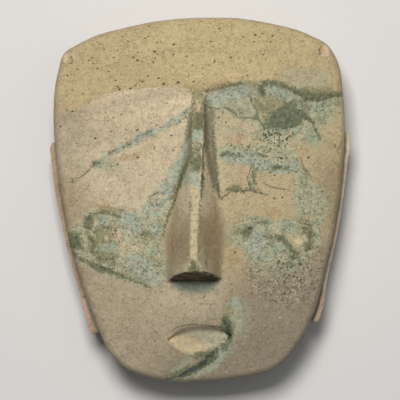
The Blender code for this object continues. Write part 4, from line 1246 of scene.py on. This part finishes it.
def weathering_tree():
    tree = bpy.data.node_groups.new("weather the stone", "GeometryNodeTree")
    tree.is_modifier = True
    tree.interface.new_socket("Geometry", in_out="INPUT", socket_type="NodeSocketGeometry")
    for name, kind, value in (
        ("Grinding Depth", "NodeSocketFloat", 0.0), ("Grinding Size", "NodeSocketFloat", 0.02),
        ("Grain Depth", "NodeSocketFloat", 0.0), ("Grain Size", "NodeSocketFloat", 0.004),
        ("Pit Depth", "NodeSocketFloat", 0.0), ("Pit Size", "NodeSocketFloat", 0.003),
        ("Seed", "NodeSocketInt", 1), ("Stone", "NodeSocketMaterial", None),
    ):
        made = tree.interface.new_socket(name, in_out="INPUT", socket_type=kind)
        if value is not None:
            made.default_value = value
    tree.interface.new_socket("Geometry", in_out="OUTPUT", socket_type="NodeSocketGeometry")
    given = tree.nodes.new("NodeGroupInput").outputs
    place = add_node(tree, "GeometryNodeInputPosition").outputs[0]
    seed = maths(tree, "MULTIPLY", given["Seed"], 0.137)
    moved = add_node(tree, "ShaderNodeVectorMath", ((0, place), (1, seed)), operation="ADD").outputs[0]

    def lumps(size, detail):
        scale = maths(tree, "DIVIDE", 1.0, size)
        made = add_node(tree, "ShaderNodeTexNoise",
                        (("Vector", moved), ("Scale", scale), ("Detail", detail)))
        return maths(tree, "MULTIPLY", maths(tree, "SUBTRACT", made.outputs[0], 0.5), 2.0)

    def layer(name):
        return add_node(tree, "GeometryNodeInputNamedAttribute", (("Name", name),),
                        data_type="FLOAT").outputs[0]

    grinding = maths(tree, "MULTIPLY", lumps(given["Grinding Size"], 2.0), given["Grinding Depth"])
    grain = maths(tree, "MULTIPLY", lumps(given["Grain Size"], 4.0), given["Grain Depth"])
    patchy = ramp(tree, layer("soft_green"), -1.0, 1.5, 0.35, 1.0)
    grain = maths(tree, "MULTIPLY", grain, maths(tree, "ADD", patchy, layer("chipped")))
    cells = add_node(tree, "ShaderNodeTexVoronoi", (
        ("Vector", moved), ("Scale", maths(tree, "DIVIDE", 1.0, given["Pit Size"])), ("Randomness", 1.0),
    ))
    pit = ramp(tree, cells.outputs["Distance"], 0.15, 0.55, 1.0, 0.0)
    chosen = ramp(tree, add_node(tree, "ShaderNodeSeparateXYZ", ((0, cells.outputs["Color"]),)).outputs[0],
                  0.55, 0.75)
    pit = maths(tree, "MULTIPLY", maths(tree, "MULTIPLY", pit, chosen), given["Pit Depth"])
    pit = maths(tree, "MULTIPLY", pit, ramp(tree, layer("speckled"), 0.3, 0.9))
    depth = maths(tree, "SUBTRACT", maths(tree, "ADD", grinding, grain), pit)
    depth = maths(tree, "MULTIPLY", depth, layer("in_front"))
    normal = add_node(tree, "GeometryNodeInputNormal").outputs[0]
    offset = add_node(tree, "ShaderNodeVectorMath", ((0, normal), ("Scale", depth)),
                      operation="SCALE").outputs[0]
    worn = add_node(tree, "GeometryNodeSetPosition", (("Geometry", given["Geometry"]), ("Offset", offset)))
    real = add_node(tree, "GeometryNodeRealizeInstances", ((0, worn.outputs[0]),))
    finished = add_node(tree, "GeometryNodeSetMaterial",
                        (("Geometry", real.outputs[0]), ("Material", given["Stone"])))
    add_node(tree, "NodeGroupOutput", ((0, finished.outputs[0]),))
    return tree


WEATHER = {
    "Grinding Depth": 0.00045, "Grinding Size": 0.022, "Grain Depth": 0.00028, "Grain Size": 0.0045,
    "Pit Depth": 0.00045, "Pit Size": 0.0042, "Seed": 7,
}
carved_finish = bpy.data.materials.new("carved stone")
weather = stone.modifiers.new("weather the stone", "NODES")
weather.node_group = weathering_tree()
for socket in weather.node_group.interface.items_tree:
    if socket.in_out == "INPUT" and socket.name in WEATHER:
        weather[socket.identifier] = WEATHER[socket.name]
    if socket.name == "Stone":
        weather[socket.identifier] = carved_finish
worn = evaluated_copy(stone, "carved_stone")
stone.modifiers.clear()
stone.data = worn
stone.data.shade_smooth()
print("Weathered:", len(stone.data.polygons), "faces, materials", [m.name for m in stone.data.materials])

# %% [markdown]
# The stone's material. Under each layer lies the same idea: take the stored depth, add noise in millimetres,
# and the smooth painted border turns into the broken edge that mineral has. That step is one node group,
# used by every layer. More groups hold the pores, the fine wandering lines, the specks and the mottling.
# They only give out masks and tones, and the shader itself stays outside them.

# %% Node groups of the stone
def new_group(name, inputs, outputs):
    """An empty shader group with these sockets, what it is given and what it gives, by name."""
    tree = bpy.data.node_groups.new(name, "ShaderNodeTree")
    kinds = {"value": "NodeSocketFloat", "vector": "NodeSocketVector", "tone": "NodeSocketColor"}
    for label, kind, value in inputs:
        made = tree.interface.new_socket(label, in_out="INPUT", socket_type=kinds[kind])
        if value is not None:
            made.default_value = value
    for label, kind in outputs:
        tree.interface.new_socket(label, in_out="OUTPUT", socket_type=kinds[kind])
    given = tree.nodes.new("NodeGroupInput").outputs
    gives = tree.nodes.new("NodeGroupOutput").inputs
    return tree, given, gives


def sized_noise(tree, given, detail, roughness):
    """Noise whose size is an input of the group."""
    return add_node(tree, "ShaderNodeTexNoise", (
        ("Vector", given["Vector"]), ("Scale", maths(tree, "DIVIDE", 1.0, given["Size"])),
        ("Detail", detail), ("Roughness", roughness),
    )).outputs[0]


def bent(tree, vector, amount):
    """The vector pushed about by fine noise, so that what is read there gets ragged."""
    push = add_node(tree, "ShaderNodeTexNoise",
                    (("Vector", vector), ("Scale", 900.0), ("Detail", 2.0))).outputs[1]
    push = add_node(tree, "ShaderNodeVectorMath", ((0, push), (1, (0.5, 0.5, 0.5))), operation="SUBTRACT")
    push = add_node(tree, "ShaderNodeVectorMath", ((0, push.outputs[0]), ("Scale", amount)),
                    operation="SCALE")
    return add_node(tree, "ShaderNodeVectorMath", ((0, vector), (1, push.outputs[0])),
                    operation="ADD").outputs[0]


def broken_edge_group():
    tree, given, gives = new_group("broken edge", (
        ("Depth", "value", 0.0), ("Vector", "vector", None), ("Size", "value", 0.003),
        ("Breaks", "value", 1.2), ("Grit", "value", 0.8), ("Softness", "value", 0.35),
    ), (("Mask", "value"),))
    coarse = sized_noise(tree, given, 4.0, 0.6)
    fine = noise(tree, given["Vector"], 0.0012, 2.0, 0.7)
    shift = maths(tree, "MULTIPLY", maths(tree, "SUBTRACT", coarse, 0.5),
                  maths(tree, "MULTIPLY", given["Breaks"], 4.0))
    grit = maths(tree, "MULTIPLY", maths(tree, "SUBTRACT", fine, 0.5),
                 maths(tree, "MULTIPLY", given["Grit"], 4.0))
    depth = maths(tree, "ADD", maths(tree, "ADD", given["Depth"], shift), grit)
    soft = given["Softness"]
    made = add_node(tree, "ShaderNodeMapRange", (
        ("Value", depth), ("From Min", maths(tree, "MULTIPLY", soft, -1.0)), ("From Max", soft),
    ), interpolation_type="SMOOTHSTEP")
    tree.links.new(made.outputs[0], gives["Mask"])
    return tree


def pores_group():
    tree, given, gives = new_group("pores", (
        ("Vector", "vector", None), ("Size", "value", 0.003), ("Share", "value", 0.3),
        ("Reach", "value", 0.3),
    ), (("Mask", "value"),))
    cells = add_node(tree, "ShaderNodeTexVoronoi", (
        ("Vector", bent(tree, given["Vector"], 0.0010)),
        ("Scale", maths(tree, "DIVIDE", 1.0, given["Size"])),
    ))
    chance = add_node(tree, "ShaderNodeSeparateColor", ((0, cells.outputs["Color"]),))
    chosen = maths(tree, "LESS_THAN", chance.outputs[0], given["Share"])
    own_reach = maths(tree, "MULTIPLY", given["Reach"], maths(tree, "ADD", 0.4, chance.outputs[1]))
    inside = maths(tree, "DIVIDE", cells.outputs["Distance"], own_reach)
    round_mask = ramp(tree, inside, 0.6, 1.0, 1.0, 0.0)
    tree.links.new(maths(tree, "MULTIPLY", round_mask, chosen), gives["Mask"])
    return tree


def worms_group():
    """Fine wandering lines: where a noise passes through its middle value."""
    tree, given, gives = new_group("worms", (
        ("Vector", "vector", None), ("Size", "value", 0.003), ("Width", "value", 0.04),
    ), (("Mask", "value"),))
    middle = maths(tree, "ABSOLUTE", maths(tree, "SUBTRACT", sized_noise(tree, given, 2.5, 0.6), 0.5))
    made = add_node(tree, "ShaderNodeMapRange", (
        ("Value", middle), ("From Min", maths(tree, "MULTIPLY", given["Width"], 0.3)),
        ("From Max", given["Width"]), ("To Min", 1.0), ("To Max", 0.0),
    ), interpolation_type="SMOOTHSTEP")
    breaks = ramp(tree, noise(tree, given["Vector"], 0.0042, 3.0), 0.44, 0.58)
    tree.links.new(maths(tree, "MULTIPLY", made.outputs[0], breaks), gives["Mask"])
    return tree


def specks_group():
    """Salt and pepper: the highest places of a fine noise, and more of them where the amount is high."""
    tree, given, gives = new_group("specks", (
        ("Vector", "vector", None), ("Amount", "value", 0.0),
    ), (("Mask", "value"),))
    fine = noise(tree, given["Vector"], 0.0013, 2.0, 0.6)
    raised = maths(tree, "ADD", fine, maths(tree, "MULTIPLY", given["Amount"], 0.13))
    tree.links.new(ramp(tree, raised, 0.645, 0.70), gives["Mask"])
    return tree


def mottle_group():
    tree, given, gives = new_group("mottle", (
        ("Vector", "vector", None), ("Size", "value", 0.004), ("Low", "tone", None),
        ("Middle", "tone", None), ("High", "tone", None),
    ), (("Tone", "tone"),))
    made = sized_noise(tree, given, 6.0, 0.74)
    low = ramp(tree, made, 0.38, 0.50)
    high = ramp(tree, made, 0.51, 0.64)
    first = add_node(tree, "ShaderNodeMix", ((0, low), (6, given["Low"]), (7, given["Middle"])),
                     data_type="RGBA")
    second = add_node(tree, "ShaderNodeMix", ((0, high), (6, first.outputs[2]), (7, given["High"])),
                      data_type="RGBA")
    tree.links.new(second.outputs[2], gives["Tone"])
    return tree


BROKEN_EDGE, PORES, MOTTLE = broken_edge_group(), pores_group(), mottle_group()
WORMS, SPECKS = worms_group(), specks_group()
print("Groups:", [group.name for group in (BROKEN_EDGE, PORES, MOTTLE, WORMS, SPECKS)])

# %% [markdown]
# These short functions do the joining, so that the recipe below reads as a list of layers. Most masks are
# also multiplied by the layer that marks the front, because the back has its own faint banding.

# %% Ways to lay one tone over another
carved_finish.use_nodes = True
surface = carved_finish.node_tree
shader = surface.nodes["Principled BSDF"]
where = add_node(surface, "ShaderNodeTexCoord").outputs["Object"]


def read(name, output="Fac"):
    """A painted layer, as the material sees it."""
    return add_node(surface, "ShaderNodeAttribute", attribute_name=name,
                    attribute_type="GEOMETRY").outputs[output]


def times(*values):
    product = values[0]
    for value in values[1:]:
        product = maths(surface, "MULTIPLY", product, value)
    return product


def use_group(group, **values):
    made = add_node(surface, "ShaderNodeGroup", node_tree=group)
    for key, value in values.items():
        if isinstance(value, bpy.types.NodeSocket):
            surface.links.new(value, made.inputs[key])
        else:
            made.inputs[key].default_value = value
    return made.outputs[0]


def tone(*screen):
    return (*linear(screen), 1.0)


def mottled(size, low, middle, high, vector=where):
    tones = {"Low": tone(*low), "Middle": tone(*middle), "High": tone(*high)}
    return use_group(MOTTLE, Vector=vector, Size=size, **tones)


def squeezed(vector, shares):
    """The vector times a share for each axis: a pattern gets drawn out where the share is small."""
    return add_node(surface, "ShaderNodeVectorMath", ((0, vector), (1, shares)),
                    operation="MULTIPLY").outputs[0]


def over(base, cover, mask):
    """Lays a tone over another, through a mask."""
    return add_node(surface, "ShaderNodeMix", ((0, mask), (6, base), (7, cover)),
                    data_type="RGBA").outputs[2]


def multiplied(base, factor):
    """Darkens or lightens a tone by a grey factor."""
    grey = add_node(surface, "ShaderNodeCombineColor", ((0, factor), (1, factor), (2, factor))).outputs[0]
    return add_node(surface, "ShaderNodeMix", ((0, 1.0), (6, base), (7, grey)), data_type="RGBA",
                    blend_type="MULTIPLY").outputs[2]


front = read("in_front")


def edge_of(layer, size, breaks, grit, softness, strength=1.0, everywhere=False):
    """The broken mask of a painted layer, on the front alone unless it is asked for everywhere."""
    mask = use_group(BROKEN_EDGE, Depth=read(layer), Vector=where, Size=size, Breaks=breaks, Grit=grit,
                     Softness=softness)
    return mask if everywhere else times(mask, front, strength)


print("Shader:", shader.name)

# %% [markdown]
# Each coloured stone has three tones, which its mottling mixes: dark grains, its own tone and light grains.
# One table holds them all, so that a tone is changed in one place. Two more give the size of each stone's
# grains and how its edge breaks, and their order is the order in which the stones are laid.

# %% The stones and their edges
STONES = {
    "bands behind": ((122, 126, 100), (146, 148, 122), (168, 162, 134)),
    "haze": ((146, 148, 122), (162, 162, 136), (174, 170, 144)),
    "soft_green": ((136, 141, 113), (165, 168, 139), (192, 186, 154)),
    "olive": ((112, 112, 76), (134, 130, 92), (164, 154, 114)),
    "grey": ((96, 92, 74), (114, 108, 88), (136, 128, 106)),
    "blue": ((144, 152, 136), (164, 173, 155), (182, 186, 166)),
    "teal": ((134, 152, 130), (152, 168, 146), (172, 182, 160)),
    "rust": ((140, 116, 84), (174, 146, 106), (196, 168, 128)),
    "lip": ((184, 166, 130), (202, 183, 146), (220, 202, 166)),
    "pale_lip_and_painted_light": ((158, 154, 126), (190, 186, 158), (210, 204, 178)),
    "cream": ((164, 148, 112), (194, 178, 142), (212, 198, 164)),
    "shade": ((72, 77, 53), (98, 101, 73), (130, 130, 100)),
    "dark_green": ((80, 86, 64), (106, 111, 85), (130, 134, 106)),
    "dimple": ((208, 184, 158), (208, 184, 158), (208, 184, 158)),
    "deep": ((52, 56, 48), (66, 70, 62), (90, 94, 84)),
    # Painted shade, partly dark stone: the underside of the nose.
    "underside": ((44, 41, 28), (72, 66, 46), (150, 136, 100)),
    "left ear": ((174, 150, 120), (190, 165, 134), (206, 182, 150)),
    # Painted light: the right ear is lighter than the left, where the face shades it.
    "right ear painted lighter": ((214, 192, 160), (230, 210, 180), (240, 224, 196)),
    "lobe": ((186, 150, 130), (206, 172, 150), (220, 190, 168)),
}
# layer: size of its grains, then its edge: size, breaks, grit, softness, strength
SOFT_STONES = {
    "haze": (0.0030, 0.006, 1.4, 2.4, 1.6, 0.5), "soft_green": (0.0036, 0.005, 1.1, 1.6, 1.1, 0.85),
    "olive": (0.0030, 0.004, 0.8, 1.5, 0.9, 0.75), "grey": (0.0034, 0.004, 0.6, 0.9, 0.9, 0.7),
    "blue": (0.0036, 0.004, 0.8, 1.1, 0.8, 0.85), "teal": (0.0030, 0.004, 0.8, 1.0, 0.8, 0.75),
    "rust": (0.0030, 0.004, 0.7, 1.2, 1.2, 0.55),
}
HARD_STONES = {
    "lip": (0.0026, 0.004, 0.6, 1.0, 1.6, 0.75), "pale_lip_and_painted_light": (0.0026, 0.004, 0.6, 1.2, 1.4, 0.6),
    "cream": (0.0024, 0.003, 0.5, 0.9, 0.4, 1.0), "shade": (0.0020, 0.003, 0.6, 1.2, 0.7, 0.78),
    "dark_green": (0.0022, 0.003, 0.35, 0.6, 0.3, 1.0), "dimple": (0.0022, 0.004, 0.15, 0.15, 0.5, 0.75),
    "deep": (0.0022, 0.003, 0.30, 0.60, 0.3, 0.85),
}
BROW_BORDER, EAR_EDGE, LOBE_EDGE = (0.004, 0.35, 0.35, 0.4), (0.004, 0.2, 0.2, 0.8), (0.004, 0.7, 0.5, 0.3)
UNDERSIDE_EDGE, UNDERSIDE_GRAINS, EAR_GRAINS, BAND_GRAINS = (0.004, 0.25, 0.45, 0.5), 0.004, 0.0040, 0.005
laid = {}


def lay(base, stones):
    """Lays the stones over the base in their order, and keeps their masks."""
    for name, (grains, *edge) in stones.items():
        laid[name] = edge_of(name, *edge)
        base = over(base, mottled(grains, *STONES[name]), laid[name])
    return base


print("Stones:", list(STONES))

# %% [markdown]
# The layers are laid one over the other as they lie in the stone. First comes the plain stone: two tones
# that meet at the brow, uneven in three sizes of noise, and behind it faint bands. The soft colours lie over
# it.

# %% Plain stone and soft colours
SHADER_NOISES = (
    (0.016, 4.0, 0.60, (0.30, 0.70), (0.94, 1.05)), (0.0017, 5.0, 0.75, (0.25, 0.75), (0.82, 1.15)),
    (0.0007, 2.0, 0.70, (0.20, 0.80), (0.88, 1.10)),
)
STAIN_TONE, STAIN_STRENGTH, BAND_STRENGTH = (196, 166, 122), 0.30, 0.7

above = edge_of("above_brow", *BROW_BORDER, everywhere=True)
base = over(read("face_tone_and_shade", "Color"), read("forehead_tone", "Color"), above)
unevenness = []
for size, detail, roughness, values, factors in SHADER_NOISES:
    unevenness.append(noise(surface, where, size, detail, roughness))
    base = multiplied(base, ramp(surface, unevenness[-1], *values, *factors))
_, grain, grit = unevenness
stained = ramp(surface, noise(surface, where, 0.0055, 4.0, 0.65), 0.54, 0.70)
base = over(base, tone(*STAIN_TONE), times(stained, above, STAIN_STRENGTH))

bedding = squeezed(where, (1.0, 2.4, 1.6))
behind = maths(surface, "SUBTRACT", 1.0, front)
bands = ramp(surface, noise(surface, bedding, 0.052, 5.0, 0.62), 0.52, 0.60)
base = over(base, mottled(BAND_GRAINS, *STONES["bands behind"]), times(bands, behind, BAND_STRENGTH))
base = lay(base, SOFT_STONES)
print("Soft stones laid:", list(laid))

# %% [markdown]
# Specks and a net fill the rotten bands. Two readings of the same noise at different places give dark and
# light specks that don't coincide. Then come the dense stones, the dark underside of the nose, partly stone
# and partly painted shade, and last the ears, which are plain, the right one painted lighter as painted light
# where the face shades it.

# %% Net, specks, dense stones and ears
DARK_NET, PALE_NET = (84, 88, 64), (200, 186, 156)
WORM_TONES = (
    ("pale", PALE_NET, 0.7, "netted"), ("middle", (132, 116, 82), 0.34, "in_front"),
    ("middle", DARK_NET, 0.55, "netted"),
    ("fine", (96, 98, 72), 0.5, "netted"), ("fine", (140, 122, 86), 0.24, "in_front"),
)
SPECK_TONES = (120, 104, 72), (78, 80, 60), (44, 46, 38)
PALE_SPECK, PALE_SPECK_STRENGTH, PALE_SPECK_SHARE = (206, 194, 166), 0.55, 0.8

moved = add_node(surface, "ShaderNodeVectorMath", ((0, where), (1, (0.3, 0.1, 0.2))),
                 operation="ADD").outputs[0]
worms = {
    "middle": use_group(WORMS, Vector=where, Size=0.0026, Width=0.040),
    "fine": use_group(WORMS, Vector=moved, Size=0.0016, Width=0.050),
    "pale": use_group(WORMS, Vector=moved, Size=0.0046, Width=0.060),
}
for kind, worm_tone, strength, layer in WORM_TONES:
    base = over(base, tone(*worm_tone), times(worms[kind], read(layer), strength))
speckled = read("speckled")
dark_specks = use_group(SPECKS, Vector=where, Amount=speckled)
pale_specks = use_group(SPECKS, Vector=moved, Amount=times(speckled, PALE_SPECK_SHARE))
speck_tone = over(tone(*SPECK_TONES[0]), tone(*SPECK_TONES[1]), ramp(surface, speckled, 0.05, 0.4))
speck_tone = over(speck_tone, tone(*SPECK_TONES[2]), ramp(surface, speckled, 0.75, 1.0))
base = over(base, speck_tone, times(dark_specks, ramp(surface, speckled, 0.7, 1.0, 0.74, 0.95), front))
base = over(base, tone(*PALE_SPECK), times(pale_specks, PALE_SPECK_STRENGTH, front))

base = lay(base, HARD_STONES)
# Painted shade, partly dark stone: dark streaks on the underside of the nose.
underside_stone_and_shade = mottled(UNDERSIDE_GRAINS, *STONES["underside"], squeezed(where, (0.5, 3.0, 1.0)))
base = over(base, underside_stone_and_shade, edge_of("underside", *UNDERSIDE_EDGE))
across = add_node(surface, "ShaderNodeSeparateXYZ", ((0, where),)).outputs[0]
painted_light_side = ramp(surface, across, -0.02, 0.02)
# The right ear is painted lighter than the left: painted light where the face shades it.
ear_stone_and_painted_light = over(mottled(EAR_GRAINS, *STONES["left ear"]), mottled(EAR_GRAINS, *STONES["right ear painted lighter"]),
                 painted_light_side)
base = over(base, ear_stone_and_painted_light, edge_of("ear", *EAR_EDGE, everywhere=True))
base = over(base, mottled(EAR_GRAINS, *STONES["lobe"]), edge_of("lobe", *LOBE_EDGE, everywhere=True))
print("All stones laid:", len(laid))

# %% [markdown]
# Pores and cracks cut through every layer. A pore is darkest in its middle, a crack gets thinner and breaks
# off at places, and where the ear leaves the wall a painted shade darkens the corner. The same masks lower
# the surface through a Bump node. Stone doesn't shine, but the dense green is a little smoother than the
# rest.

# %% Pores, cracks, roughness and relief
PORE_TONE, DUST_TONE, SINGLE_PORE_TONE, CRACK_TONE = (96, 82, 56), (134, 116, 82), (78, 68, 48), (98, 98, 72)
PORE_STRENGTH, DUST_STRENGTH, SINGLE_PORE_STRENGTH = 0.75, 0.55, 0.88
CRACK_STRENGTH, EAR_CORNER_SHADE_STRENGTH = 0.72, 0.72
PLAIN_ROUGHNESS, POLISH = (0.74, 0.90), 0.14
RAGGED, CRACK_WANDER = 0.9, 2.0

flat = squeezed(where, (0.72, 1.25, 1.0))
pored = read("pored")
small_pores = times(use_group(PORES, Vector=flat, Size=0.0036, Share=0.62, Reach=0.135), pored)
dusting = times(use_group(PORES, Vector=flat, Size=0.0017, Share=0.30, Reach=0.22), pored)
offset = add_node(surface, "ShaderNodeSeparateXYZ", ((0, read("pore_offset", "Vector")),)).outputs
ragged = times(maths(surface, "SUBTRACT", noise(surface, where, 0.0012, 2.0), 0.5), RAGGED)
apart = maths(surface, "SQRT", maths(surface, "ADD", times(offset[0], offset[0]),
                                     times(offset[1], offset[1])))
apart = maths(surface, "DIVIDE", maths(surface, "ADD", apart, ragged), offset[2])
single_pores = times(ramp(surface, apart, 0.55, 1.05, 1.0, 0.0), read("pore_window"), front)
base = over(base, tone(*PORE_TONE), times(small_pores, PORE_STRENGTH))
base = over(base, tone(*DUST_TONE), times(dusting, DUST_STRENGTH))
base = over(base, tone(*SINGLE_PORE_TONE), times(single_pores, SINGLE_PORE_STRENGTH))

wander = times(maths(surface, "SUBTRACT", noise(surface, where, 0.0026, 3.0), 0.5), CRACK_WANDER)
crack_line = maths(surface, "ABSOLUTE", maths(surface, "ADD", read("crack_side"), wander))
crack_break = ramp(surface, noise(surface, where, 0.006, 2.0), 0.34, 0.48)
crack_width = ramp(surface, noise(surface, moved, 0.005, 2.0), 0.35, 0.65, 0.25, 0.95)
crack = times(ramp(surface, maths(surface, "DIVIDE", crack_line, crack_width), 0.2, 1.0, 1.0, 0.0),
              read("crack_window"), crack_break, front)
base = over(base, tone(*CRACK_TONE), times(crack, CRACK_STRENGTH))
base = multiplied(base, maths(surface, "SUBTRACT", 1.0, times(read("ear_corner_shade"), EAR_CORNER_SHADE_STRENGTH)))
surface.links.new(base, shader.inputs["Base Color"])

rough = ramp(surface, grain, 0.2, 0.8, *PLAIN_ROUGHNESS)
rough = maths(surface, "SUBTRACT", rough, times(laid["dark_green"], POLISH))
surface.links.new(rough, shader.inputs["Roughness"])
shader.inputs["Specular IOR Level"].default_value = 0.35
shader.inputs["IOR"].default_value = 1.5

relief = maths(surface, "ADD", times(grain, 0.34), times(grit, 0.14))
for cut, depth in (
    (small_pores, 0.5), (single_pores, 0.9), (crack, 0.5), (dark_specks, 0.30), (worms["middle"], 0.25),
):
    relief = maths(surface, "SUBTRACT", relief, times(cut, depth))
bump = add_node(surface, "ShaderNodeBump", (("Strength", 0.9), ("Distance", 0.0005), ("Height", relief)))
surface.links.new(bump.outputs[0], shader.inputs["Normal"])
print("The material has", len(surface.nodes), "nodes")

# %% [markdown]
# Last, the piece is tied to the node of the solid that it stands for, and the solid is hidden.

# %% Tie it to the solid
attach(stone, "root")
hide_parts("mask")
